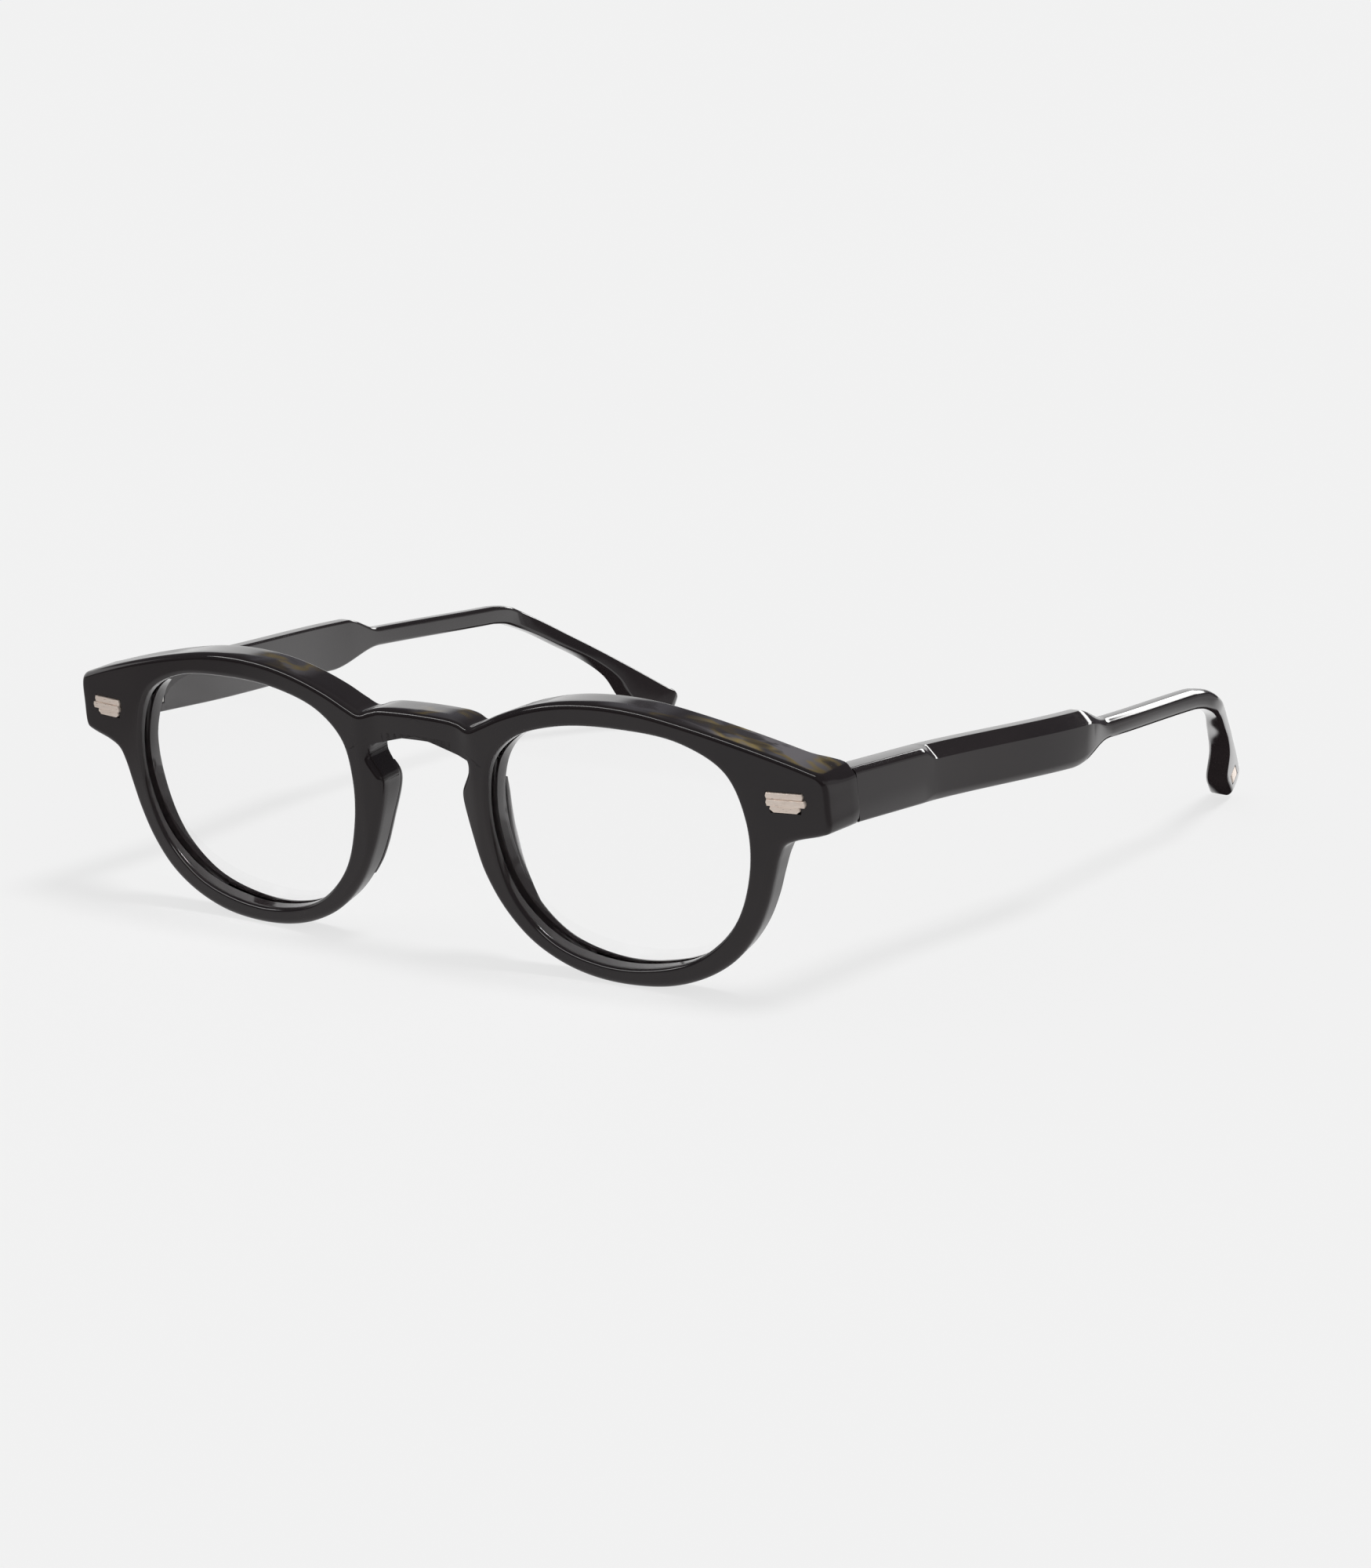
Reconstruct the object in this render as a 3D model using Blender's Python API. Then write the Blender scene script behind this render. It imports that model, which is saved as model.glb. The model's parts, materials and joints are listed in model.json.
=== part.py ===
"""Eyeglasses with a thick acetate front, a keyhole bridge and two folding temples.

World frame: +X is the wearer's left, +Y runs back towards the temple tips, +Z is up.  The glasses
stand open on their rims and temple tips, with the floor at Z = 0.

Sizes below are in millimetres.  The front is drawn in its own upright frame (u across, w backwards,
v up) and leans forward with the empty front_tilt.  Each temple is drawn in a frame whose origin is
on its hinge axis (x outward from the axis, s along the temple, h up).
"""

import bpy
import bmesh
import math
from mathutils import Matrix, Vector

MM = 0.001
GAP = 0.3                      # clearance between touching pieces

# Overall placing
FRONT_TILT = math.radians(5.15)
Y_PLACE = -71.25               # centres the whole object on Y = 0
Z_PLACE = 0.17                 # lifts the lowest point of the rims to the floor

# Front: thickness, curve and edges
RIM_DEPTH = (5.2, 6.0)         # lower rim, then upper rim and bridge
RIM_DEPTH_V = (26.0, 34.0)
HALF_WIDTH = 72.0
SAG_SQUARE = 2.77              # how far the front face falls back at HALF_WIDTH
SAG_FOURTH = 1.89
BRIDGE_DIP = 0.7               # the bridge's face lies behind the rims' faces
DIP_START, DIP_END = 7.5, 11.5
JOINT_W = 11.9                 # flat rear face of the end pieces
BLOCK_U = (60.3, 62.6)         # where the end piece grows to that face
BLOCK_V = (24.0, 25.6)
BLOCK_TOP_V = (35.3, 37.5)
EDGE_ROUND = 0.6
BACK_ROUND = 0.4
WALL_LEAN = (0.6, 0.25)        # how far the outer wall leans in, lower rim and upper rim
LEAN_V = (18.0, 26.0)
FLARE = 0.75                   # and how far it leans out again at the end piece
FLARE_U = (67.0, 70.0)
FLARE_TOP_V = (33.5, 35.5)
FACE_COLUMNS = (0.17, 0.32, 0.70)

# Lens openings
LENS_CENTRE = Vector((35.9, 22.0))
BEVEL = 0.75                   # bevel round the front of each opening
LIP_W = 1.0                    # front of the groove at the sides of the opening
LENS_RADIUS = 120.0            # the lens curves up and down as well
LENS_EDGE = 1.4
GROOVE_DEPTH = 0.9
GROOVE_WIDTH = LENS_EDGE + 2 * GAP

# Half outline of the front, clockwise from the middle of the bridge's top
BRIDGE_TOP = 38.6
KEYHOLE_TOP = 33.9
OUTLINE = [
    (0, BRIDGE_TOP), (6.4, 38.4), (8.6, 38.0), (10.5, 37.5), (12.6, 38.3), (16.5, 40.1), (22, 42.0),
    (28, 43.3), (35, 43.8), (42, 43.4), (49, 42.2), (56, 40.6), (63, 38.7), (69, 36.8), (71.1, 35.9),
    (71.8, 34.7), (72.0, 31), (72.0, 27.9), (71.6, 26.95), (70.3, 26.4), (66.3, 25.4), (64.3, 24.4),
    (63.2, 22.4), (62.2, 19.2), (60.8, 15.0), (58.6, 10.5), (55.1, 6.1), (50.3, 2.8), (44, 0.5),
    (37, -0.3), (30, 0.1), (24, 1.7), (18.5, 4.7), (14, 9.3), (11, 14.5), (8.9, 20.5), (7.75, 25.2),
    (7.7, 26.6), (7.9, 27.4), (9.3, 29.9), (9.52, 30.5), (9.55, 31.6), (8.7, 32.8), (6.5, 33.6),
    (3, 33.85), (0, KEYHOLE_TOP)]
OPENING = [
    (59.2, 28), (56.2, 35.4), (48.8, 39.5), (38, 40.75), (27, 40.1), (18.5, 37.4), (13.9, 33),
    (12.5, 27), (13.0, 19.5), (16.0, 10.9), (22.3, 4.7), (31, 2.0), (40, 2.15), (49, 4.9),
    (55.8, 11.0), (59.1, 19.7)]
OUTLINE_STEPS = 2              # points for each stretch between two of these points
LENS_STEPS = 3
LENS_RINGS = (1.0, 0.66, 0.33)
LOOP_STEPS = 12                # fine sampling, to find the closest places
PLACE_SMOOTHING = 6
PLACE_STEP = 0.05

# Nose pads, bonded behind the inner side of each rim
PAD_TOP_V = 28.5
PAD_BOTTOM_V = 9.5
PAD_DEPTH = 1.8
PAD_EDGE = 0.35
PAD_SPLAY = 0.5
PAD_STATIONS = 11

# Plaques on the end pieces: three stepped bars and two pins through to the hinge
PLAQUE_CENTRE = (65.5, 31.4)
PLAQUE_BARS = [(-3.1, 2.8, 0.5, 1.5), (-3.0, 3.2, -0.5, 0.5), (-2.55, 2.3, -1.5, -0.5)]
PLAQUE_PROUD = (0.25, 0.40, 0.25)
PLAQUE_POCKET = 0.7
PIN_OFFSETS = (-1.3, 1.3)
PIN_RADIUS = 0.45

# Hinges: five knuckles on a vertical screw
AXIS_U, AXIS_W, AXIS_V = 66.3, 11.6, 30.8
KNUCKLE_RADIUS = 1.4
KNUCKLE_HEIGHT = 1.0
SCREW_RADIUS = 0.55
KNUCKLE_PITCH = KNUCKLE_HEIGHT + GAP
KNUCKLES = 5
BARREL_HALF = (KNUCKLES * KNUCKLE_PITCH - GAP) / 2
BORE_HALF = 6.0                # reach of the screw hole either way from the middle
BORE_RADIUS = SCREW_RADIUS + GAP
WEB_STEP = 0.08                # the webs are a little lower than their knuckles
SCREW_HEAD = (1.15, 0.6)
PLATE_HEIGHT = 6.0
POCKET_FLOOR = 8.5             # hinge seat in the end piece
POCKET_U = (63.4, 69.0)
POCKET_V = (-3.7, 4.3)         # from the middle of the hinge
PLATE_THICK = 0.8
TEMPLE_PLATE = (1.75, 2.45)    # inner and outer side of the temple's hinge plate, from the axis
TEMPLE_PLATE_LENGTH = 8.6
RIVET_S = (4.4, 7.2)
RIVET_RADIUS = 0.5
RIVET_END = 0.3                # how far they go past the plate, short of the core channel

# Temples
TEMPLE_SLOPE = math.radians(8.785)
TEMPLE_INNER = 1.8             # from the hinge axis
TEMPLE_THICK = 4.3
TEMPLE_TOP, TEMPLE_BOTTOM = 4.1, -4.1
BUTT_GAP = 0.15                # between the temple's end and the front's joint face
BOW = 3.6                      # how far the temple bows outward between these places
BOW_S = (18.0, 60.0)
BOW_BACK = 1.8                 # and comes back in between these
BOW_BACK_S = (66.0, 104.0)
BEVEL_START, BEVEL_END = 18.0, 22.0
TOP_BEVEL = (2.1, 1.9)
SMALL_BEVEL = 0.5
STEP_START, STEP_END = 59.0, 69.0
TOP_STEP = (60.0, 68.5)        # where the top comes down
LOW_STEP = (55.6, 69.0)        # and where the bottom comes up
BAR_TOP, BAR_BOTTOM = 1.8, -1.4
BAR_THICK = 3.3
TIP_THICK = 4.0
TIP_S = (110.0, 122.0)         # where the bar thickens towards the tip
TURN_IN = (0.26, 0.27)         # the tip turns in, for each millimetre back and each one down
TURN_IN_START = 28.17          # start of the turn, in millimetres of sideways travel
TURN_IN_SOFT = 0.9             # half the length over which it sets in
BAR_END = 99.0
DROP_TOP = [(BAR_END, BAR_TOP), (103.5, 1.3), (107.5, -0.2), (111.5, -2.2), (117, -5.4), (123, -8.9),
            (129, -12.5), (135, -16.2), (138.6, -18.4)]
DROP_BOTTOM = [(BAR_END, BAR_BOTTOM), (102.5, -1.8), (106, -2.9), (109.6, -4.4), (114.4, -7.0),
               (120.1, -10.2), (124.6, -13.8), (127.4, -18.5), (134.9, -23.38)]
DROP_STEPS = 2
CORE_HALF = 0.9                # half width of the channel for the core wire
CORE_WIRE_HALF = 0.6
CORE_END = 118.0
INLAY_CENTRE = (133.0, -18.6)
INLAY_SIZE = (2.0, 1.0)
INLAY_DEPTH = 0.5
INLAY_ANGLE = math.radians(-31)

SIDES = {"left": 1, "right": -1}


# ---------------------------------------------------------------- helpers

def clear_scene():
    for thing in list(bpy.data.objects):
        bpy.data.objects.remove(thing, do_unlink=True)


def material(name, colour, roughness, metallic=0.0, transmission=0.0):
    made = bpy.data.materials.new(name)
    made.use_nodes = True
    shader = made.node_tree.nodes["Principled BSDF"]
    shader.inputs["Base Color"].default_value = (*colour, 1.0)
    shader.inputs["Roughness"].default_value = roughness
    shader.inputs["Metallic"].default_value = metallic
    shader.inputs["Transmission Weight"].default_value = transmission
    return made


def smooth_step(value, low, high):
    t = min(max((value - low) / (high - low), 0.0), 1.0)
    return t * t * (3 - 2 * t)


def curve_through(points, steps, closed=False):
    """Points along a Catmull-Rom curve through the given ones."""
    pts = [Vector(p) for p in points]
    count = len(pts)
    spans = count if closed else count - 1
    result = []
    for i in range(spans):
        if closed:
            a, b, c, d = (pts[(i + k) % count] for k in (-1, 0, 1, 2))
        else:
            a, b, c, d = (pts[min(max(i + k, 0), count - 1)] for k in (-1, 0, 1, 2))
        knots = [0.0]
        for p, q in ((a, b), (b, c), (c, d)):
            knots.append(knots[-1] + max((q - p).length, 1e-6) ** 0.5)
        for step in range(steps):
            t = knots[1] + (knots[2] - knots[1]) * step / steps
            result.append(barry_goldman((a, b, c, d), knots, t))
    if not closed:
        result.append(pts[-1])
    return result


def barry_goldman(pts, knots, t):
    """Point of a Catmull-Rom span, by repeated mixing between knots."""
    spans = (((0, 1), (1, 2), (2, 3)), ((0, 2), (1, 3)), ((1, 2),))
    for level in spans:
        mixed = []
        for i, (low, high) in enumerate(level):
            f = (t - knots[low]) / (knots[high] - knots[low])
            mixed.append(pts[i].lerp(pts[i + 1], f))
        pts = mixed
    return pts[0]


def normals_of(points, closed=False):
    """Unit normals on the left of a run of points."""
    count = len(points)
    result = []
    for i in range(count):
        before = points[(i - 1) % count] if closed or i else points[i]
        after = points[(i + 1) % count] if closed or i < count - 1 else points[i]
        along = (after - before).normalized()
        result.append(Vector((-along.y, along.x)))
    return result


def new_object(name, shape, parent, look, side=1):
    """Turn a bmesh in millimetres into a named object, mirrored in X when side is -1."""
    bmesh.ops.scale(shape, vec=Vector((side * MM, MM, MM)), verts=shape.verts)
    bmesh.ops.recalc_face_normals(shape, faces=shape.faces)
    mesh = bpy.data.meshes.new(name)
    shape.to_mesh(mesh)
    shape.free()
    mesh.materials.append(look)
    made = bpy.data.objects.new(name, mesh)
    bpy.context.scene.collection.objects.link(made)
    made.parent = parent
    return made


def loft(rings, caps=True, closed=False):
    """A solid from rings of 3-D points, each ring joined to the next."""
    shape = bmesh.new()
    rows = [[shape.verts.new(p) for p in ring] for ring in rings]
    count = len(rings[0])
    pairs = list(zip(rows, rows[1:]))
    if closed:
        pairs.append((rows[-1], rows[0]))
    for a, b in pairs:
        for i in range(count):
            j = (i + 1) % count
            shape.faces.new((a[i], a[j], b[j], b[i]))
    if caps and not closed:
        shape.faces.new(rows[0][::-1])
        shape.faces.new(rows[-1])
    return shape


def box(low, high):
    shape = bmesh.new()
    middle = (Vector(low) + Vector(high)) / 2
    size = Vector(high) - Vector(low)
    bmesh.ops.create_cube(shape, size=1.0)
    bmesh.ops.scale(shape, vec=size, verts=shape.verts)
    bmesh.ops.translate(shape, vec=middle, verts=shape.verts)
    return shape


def cylinder(radius, start, end, sides=20):
    """A closed cylinder between two points."""
    shape = bmesh.new()
    start, end = Vector(start), Vector(end)
    bmesh.ops.create_cone(shape, cap_ends=True, segments=sides, radius1=radius, radius2=radius,
                          depth=(end - start).length)
    turn = Vector((0, 0, 1)).rotation_difference((end - start).normalized()).to_matrix()
    bmesh.ops.rotate(shape, matrix=turn, verts=shape.verts)
    bmesh.ops.translate(shape, vec=(start + end) / 2, verts=shape.verts)
    return shape


def combine(target, tools, operation):
    """Apply Booleans to an object, one tool mesh at a time."""
    for number, tool in enumerate(tools):
        helper = new_object(target.name + "_tool" + str(number), tool, target.parent, tool_look)
        helper.hide_render = True
        helper.display_type = "WIRE"
        cut = target.modifiers.new("shape" + str(number), "BOOLEAN")
        cut.operation = operation
        cut.solver = "EXACT"
        cut.object = helper
    bpy.context.view_layer.update()
    graph = bpy.context.evaluated_depsgraph_get()
    result = bpy.data.meshes.new_from_object(target.evaluated_get(graph))
    target.modifiers.clear()
    target.data = result
    for thing in list(bpy.data.objects):
        if thing.name.startswith(target.name + "_tool"):
            bpy.data.objects.remove(thing, do_unlink=True)


def empty(name, parent=None, location=(0, 0, 0), tilt=0.0):
    made = bpy.data.objects.new(name, None)
    bpy.context.scene.collection.objects.link(made)
    made.parent = parent
    made.location = Vector(location) * MM
    made.rotation_euler = (tilt, 0, 0)
    return made


# ---------------------------------------------------------------- front

def face_w(u):
    """Depth of the front face at u."""
    q = (u / HALF_WIDTH) ** 2
    dip = BRIDGE_DIP * (1 - smooth_step(abs(u), DIP_START, DIP_END))
    return SAG_SQUARE * q + SAG_FOURTH * q * q + dip


def rear_w(u, v):
    """Depth of the rear face: the rim's thickness, and the flat joint face of the end piece."""
    lower, upper = RIM_DEPTH
    rim = face_w(u) + lower + (upper - lower) * smooth_step(v, *RIM_DEPTH_V)
    block = smooth_step(u, *BLOCK_U) * smooth_step(v, *BLOCK_V)
    block *= 1 - smooth_step(v, *BLOCK_TOP_V)
    return rim + (JOINT_W - rim) * block


def groove_w(u, v):
    """Depth of the front side of the lens groove."""
    return face_w(u) + LIP_W + (v - LENS_CENTRE.y) ** 2 / (2 * LENS_RADIUS)


def groove_front(u, v):
    """The same, kept behind the bevel."""
    return max(groove_w(u, v), face_w(u) + BEVEL + 0.2)


def opening_loop(steps):
    """Points round the lens opening, anticlockwise, with their directions into the opening."""
    points = curve_through(OPENING, steps, closed=True)
    return list(zip(points, normals_of(points, closed=True)))


def loop_at(loop, place):
    """Point and direction of the loop at a place between two of its points."""
    low = math.floor(place)
    p, n = loop[low % len(loop)]
    q, m = loop[(low + 1) % len(loop)]
    return p.lerp(q, place - low), n.lerp(m, place - low).normalized()


def closest_places(points, loop):
    """Where the loop comes closest to each point, evened out and always moving the same way."""
    count = len(loop)
    places = []
    for p in points:
        place = min(range(count), key=lambda i: (loop[i][0] - p).length)
        if places:
            place += count * round((places[-1] - place) / count)
        places.append(place)
    for _ in range(PLACE_SMOOTHING):
        inner = [(a + 2 * b + c) / 4 for a, b, c in zip(places, places[1:], places[2:])]
        places = places[:1] + inner + places[-1:]
    for i in range(1, len(places)):
        places[i] = min(places[i], places[i - 1] - PLACE_STEP)
    return places


def wall_lean(u, v):
    """How far the outer wall leans in by the time it reaches the rear face."""
    lower, upper = WALL_LEAN
    flare = FLARE * smooth_step(u, *FLARE_U) * (1 - smooth_step(v, *FLARE_TOP_V))
    return lower + (upper - lower) * smooth_step(v, *LEAN_V) - flare


def front_section(outer, normal, inner, inward):
    """Closed profile of the rim at one station, from the inner lip round the outside."""
    lip = inner + inward * BEVEL
    bed = lip - inward * GROOVE_DEPTH
    edge = outer - normal * EDGE_ROUND
    back = outer - normal * wall_lean(outer.x, outer.y)
    back_edge = back - normal * BACK_ROUND
    rows = [(lip, face_w(lip.x) + BEVEL), (inner, face_w(inner.x))]
    for f in FACE_COLUMNS:
        p = inner.lerp(edge, f)
        rows.append((p, face_w(p.x)))
    rows.append((edge, face_w(edge.x)))
    rows.append((outer, face_w(outer.x) + EDGE_ROUND))
    rows.append((back, rear_w(back.x, back.y) - BACK_ROUND))
    rows.append((back_edge, rear_w(back_edge.x, back_edge.y)))
    for f in reversed(FACE_COLUMNS):
        p = lip.lerp(back_edge, f)
        rows.append((p, rear_w(p.x, p.y)))
    near = groove_front(lip.x, lip.y)
    far = near + GROOVE_WIDTH
    rows.append((lip, rear_w(lip.x, lip.y)))
    rows += [(lip, far), (bed, far), (bed, near), (lip, near)]
    return [Vector((p.x, w, p.y)) for p, w in rows]


def front_half(shape, stations, wall, side):
    """Quads of one half; wall holds the profile rows that only exist on the outline."""
    rows = []
    for ring, on_plane in stations:
        rows.append(([shape.verts.new((side * p.x, p.y, p.z)) for p in ring], on_plane))
    count = len(rows[0][0])
    for (a, plane_a), (b, plane_b) in zip(rows, rows[1:] + rows[:1]):
        for i in range(count):
            if i in wall and plane_a and plane_b:
                continue
            j = (i + 1) % count
            shape.faces.new((a[i], a[j], b[j], b[i]))


def make_front_shape():
    """Both halves of the front, joined in the middle of the bridge."""
    outline = curve_through(OUTLINE, OUTLINE_STEPS)
    normals = normals_of(outline)
    normals[0], normals[-1] = Vector((0, 1)), Vector((0, -1))
    outline.append(Vector((0, (BRIDGE_TOP + KEYHOLE_TOP) / 2)))
    normals.append(Vector((0, 0)))
    loop = opening_loop(LOOP_STEPS)
    places = closest_places(outline, loop)
    wall_rows = (5, 6, 7)
    stations = []
    for outer, normal, place in zip(outline, normals, places):
        inner, inward = loop_at(loop, place)
        ring = front_section(outer, normal, inner, inward)
        stations.append((ring, abs(outer.x) < 1e-6))
    shape = bmesh.new()
    for side in (1, -1):
        front_half(shape, stations, wall_rows, side)
    loose = [v for v in shape.verts if not v.link_faces]
    bmesh.ops.delete(shape, geom=loose, context="VERTS")
    bmesh.ops.remove_doubles(shape, verts=shape.verts, dist=1e-4)
    bmesh.ops.recalc_face_normals(shape, faces=shape.faces)
    return shape


def plaque_outline(grow=0.0):
    """The three bars' common outline as (left, right, bottom, top) boxes, grown by a margin."""
    u0, v0 = PLAQUE_CENTRE
    return [(u0 + a - grow, u0 + b + grow, v0 + c - grow, v0 + d + grow)
            for a, b, c, d in PLAQUE_BARS]


def plaque_face(u):
    """A flat seat for the plaque on the curved face, so its depth is taken at one place."""
    return face_w(PLAQUE_CENTRE[0]) + (u - PLAQUE_CENTRE[0]) * plaque_slope()


def plaque_slope():
    u = PLAQUE_CENTRE[0]
    return (face_w(u + 1) - face_w(u - 1)) / 2


def sheared_box(u0, u1, v0, v1, depth0, depth1):
    """A box that follows the slope of the face under the plaque."""
    shape = box((u0, 0, v0), (u1, 1, v1))
    for vert in shape.verts:
        depth = depth1 if vert.co.y > 0.5 else depth0
        vert.co.y = plaque_face(vert.co.x) + depth
    return shape


def pin_ends(offset, start, end):
    u = PLAQUE_CENTRE[0] + offset
    v = PLAQUE_CENTRE[1]
    return (u, start, v), (u, end, v)


def mirrored(shape):
    """The same cutter for the other side."""
    copy = shape.copy()
    bmesh.ops.scale(copy, vec=Vector((-1, 1, 1)), verts=copy.verts)
    bmesh.ops.reverse_faces(copy, faces=copy.faces)
    return copy


def make_front(parent, look):
    front = new_object("front_frame", make_front_shape(), parent, look)
    cutters = []
    for u0, u1, v0, v1 in plaque_outline(GAP):
        cutters.append(sheared_box(u0, u1, v0, v1, -2.0, PLAQUE_POCKET))
    low, high = (AXIS_V + v for v in POCKET_V)
    cutters.append(box((POCKET_U[0], POCKET_FLOOR, low), (POCKET_U[1], JOINT_W + 2, high)))
    for offset in PIN_OFFSETS:
        ends = pin_ends(offset, 2.5, POCKET_FLOOR + 1.0)
        cutters.append(cylinder(PIN_RADIUS + GAP, *ends, sides=12))
    cutters += [mirrored(cutter) for cutter in cutters]
    combine(front, cutters, "DIFFERENCE")


def make_lens(parent, look, name, side):
    rim = [p + inward * (BEVEL - GROOVE_DEPTH + GAP) for p, inward in opening_loop(LENS_STEPS)]
    shape = bmesh.new()
    edges = []
    for depth in (GAP, GAP + LENS_EDGE):
        rings = []
        for scale in LENS_RINGS:
            points = [LENS_CENTRE + (p - LENS_CENTRE) * scale for p in rim]
            rings.append([shape.verts.new((p.x, groove_front(p.x, p.y) + depth, p.y))
                          for p in points])
        u, v = LENS_CENTRE
        middle = shape.verts.new((u, groove_front(u, v) + depth, v))
        for a, b in zip(rings, rings[1:]):
            bridge_rings(shape, a, b)
        fan(shape, rings[-1], middle)
        edges.append(rings[0])
    bridge_rings(shape, *edges)
    new_object(name, shape, parent, look, side)


def bridge_rings(shape, a, b):
    for i in range(len(a)):
        j = (i + 1) % len(a)
        shape.faces.new((a[i], a[j], b[j], b[i]))


def fan(shape, ring, centre):
    for i in range(len(ring)):
        shape.faces.new((ring[i], ring[(i + 1) % len(ring)], centre))


def edge_at_height(points, v):
    """Leftmost crossing of a run of points with a height."""
    found = []
    for a, b in zip(points, points[1:]):
        if (a.y - v) * (b.y - v) <= 0 and a.y != b.y:
            found.append(a.lerp(b, (v - a.y) / (b.y - a.y)).x)
    return min(found)


def make_nose_pad(parent, look, name, side):
    outline = curve_through(OUTLINE, 4)
    nose_side = [p for p in outline[len(outline) // 2:] if p.x < LENS_CENTRE.x]
    lip = [p + inward * BEVEL for p, inward in opening_loop(OUTLINE_STEPS * 3)]
    rings = []
    for k in range(PAD_STATIONS):
        t = k / (PAD_STATIONS - 1)
        v = PAD_TOP_V + (PAD_BOTTOM_V - PAD_TOP_V) * t
        depth = PAD_EDGE + PAD_DEPTH * math.sin(math.pi * t)
        outer = edge_at_height(nose_side, v) + wall_lean(0, v) + 0.1
        inner = edge_at_height(lip, v) - 0.1
        base = max(rear_w(outer, v), rear_w(inner, v)) + GAP
        splay = PAD_SPLAY * depth
        rings.append([
            Vector((outer, base, v)), Vector((outer + splay * 0.5, base + depth * 0.6, v)),
            Vector((outer + splay + 0.3, base + depth * 0.95, v)),
            Vector(((outer + inner) / 2 + splay * 0.5, base + depth, v)),
            Vector((inner - 0.1, base + depth * 0.8, v)), Vector((inner, base, v))])
    new_object(name, loft(rings), parent, look, side)


def make_plaque(parent, look, name, side):
    boxes = plaque_outline()
    back = PLAQUE_POCKET - GAP
    plaque = new_object(name, sheared_box(*boxes[1], -PLAQUE_PROUD[1], back), parent, look)
    tools = []
    for number in (0, 2):
        u0, u1, v0, v1 = boxes[number]
        v0, v1 = (v0 - 0.1, v1) if number == 0 else (v0, v1 + 0.1)
        tools.append(sheared_box(u0, u1, v0, v1, -PLAQUE_PROUD[number], back))
    for offset in PIN_OFFSETS:
        ends = pin_ends(offset, face_w(PLAQUE_CENTRE[0]) + 0.1, POCKET_FLOOR)
        tools.append(cylinder(PIN_RADIUS, *ends, sides=10))
    combine(plaque, tools, "UNION")
    flip_to_side(plaque, side)


def flip_to_side(thing, side):
    """Mirror a finished object's mesh for the right-hand side."""
    if side < 0:
        thing.data.transform(Matrix.Scale(-1, 4, Vector((1, 0, 0))))
        thing.data.flip_normals()


# ---------------------------------------------------------------- hinges and screws

def knuckle_levels(first):
    """Bottom and top of every other knuckle, from the first one up."""
    starts = [k * KNUCKLE_PITCH - BARREL_HALF for k in range(first, KNUCKLES, 2)]
    return [(start, start + KNUCKLE_HEIGHT) for start in starts]


def make_front_hinge(parent, look, name, side):
    """Plate set into the end piece, with three knuckles on its back."""
    half = PLATE_HEIGHT / 2
    near = POCKET_FLOOR + GAP
    plate = box((POCKET_U[0] + GAP, near, AXIS_V - half),
                (POCKET_U[1] - GAP, near + PLATE_THICK, AXIS_V + half))
    hinge = new_object(name, plate, parent, look)
    tools = []
    for low, high in knuckle_levels(0):
        axis = (AXIS_U, AXIS_W, AXIS_V + low), (AXIS_U, AXIS_W, AXIS_V + high)
        tools.append(cylinder(KNUCKLE_RADIUS, *axis))
        tools.append(box((AXIS_U - KNUCKLE_RADIUS, near + PLATE_THICK - 0.2, AXIS_V + low + WEB_STEP),
                         (AXIS_U + KNUCKLE_RADIUS * 0.8, AXIS_W, AXIS_V + high - WEB_STEP)))
    combine(hinge, tools, "UNION")
    bores = [cylinder(BORE_RADIUS, (AXIS_U, AXIS_W, AXIS_V - BORE_HALF),
                      (AXIS_U, AXIS_W, AXIS_V + BORE_HALF), sides=16)]
    for offset in PIN_OFFSETS:
        bores.append(cylinder(PIN_RADIUS + GAP, *pin_ends(offset, near - 1, near + 1.9), sides=12))
    combine(hinge, bores, "DIFFERENCE")
    flip_to_side(hinge, side)


def make_hinge_screw(parent, look, name, side):
    top = AXIS_V + BARREL_HALF
    bottom = AXIS_V - BARREL_HALF
    radius, height = SCREW_HEAD
    screw = new_object(name, cylinder(SCREW_RADIUS, (AXIS_U, AXIS_W, bottom - 0.2),
                                      (AXIS_U, AXIS_W, top + GAP + 0.1), sides=16), parent, look)
    head = cylinder(radius, (AXIS_U, AXIS_W, top + GAP), (AXIS_U, AXIS_W, top + GAP + height))
    combine(screw, [head], "UNION")
    slot = box((AXIS_U - 2, AXIS_W - 0.15, top + GAP + height * 0.5),
               (AXIS_U + 2, AXIS_W + 0.15, top + GAP + height + 1))
    combine(screw, [slot], "DIFFERENCE")
    flip_to_side(screw, side)


def in_temple(shape):
    """Turn a mesh drawn along the hinge axis into the temple's sloping frame."""
    bmesh.ops.rotate(shape, matrix=Matrix.Rotation(TEMPLE_SLOPE, 3, "X"), verts=shape.verts)
    return shape


def make_temple_hinge(parent, look, name, side):
    """Plate let into the temple's inner face, with two knuckles."""
    inner, outer = TEMPLE_PLATE
    half = PLATE_HEIGHT / 2 - 0.6
    plate = box((inner, 0.9, -half), (outer, TEMPLE_PLATE_LENGTH, half))
    hinge = new_object(name, plate, parent, look)
    tools = []
    for low, high in knuckle_levels(1):
        tools.append(in_temple(cylinder(KNUCKLE_RADIUS, (0, 0, low), (0, 0, high))))
        tools.append(in_temple(box((0, 0.2, low + WEB_STEP),
                                   (outer - 0.05, KNUCKLE_RADIUS + 0.6, high - WEB_STEP))))
    combine(hinge, tools, "UNION")
    bores = [in_temple(cylinder(BORE_RADIUS, (0, 0, -BORE_HALF), (0, 0, BORE_HALF), sides=16))]
    for s in RIVET_S:
        bores.append(cylinder(RIVET_RADIUS + GAP, (0, s, 0), (4, s, 0), sides=12))
    combine(hinge, bores, "DIFFERENCE")
    flip_to_side(hinge, side)


# ---------------------------------------------------------------- temples

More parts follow.
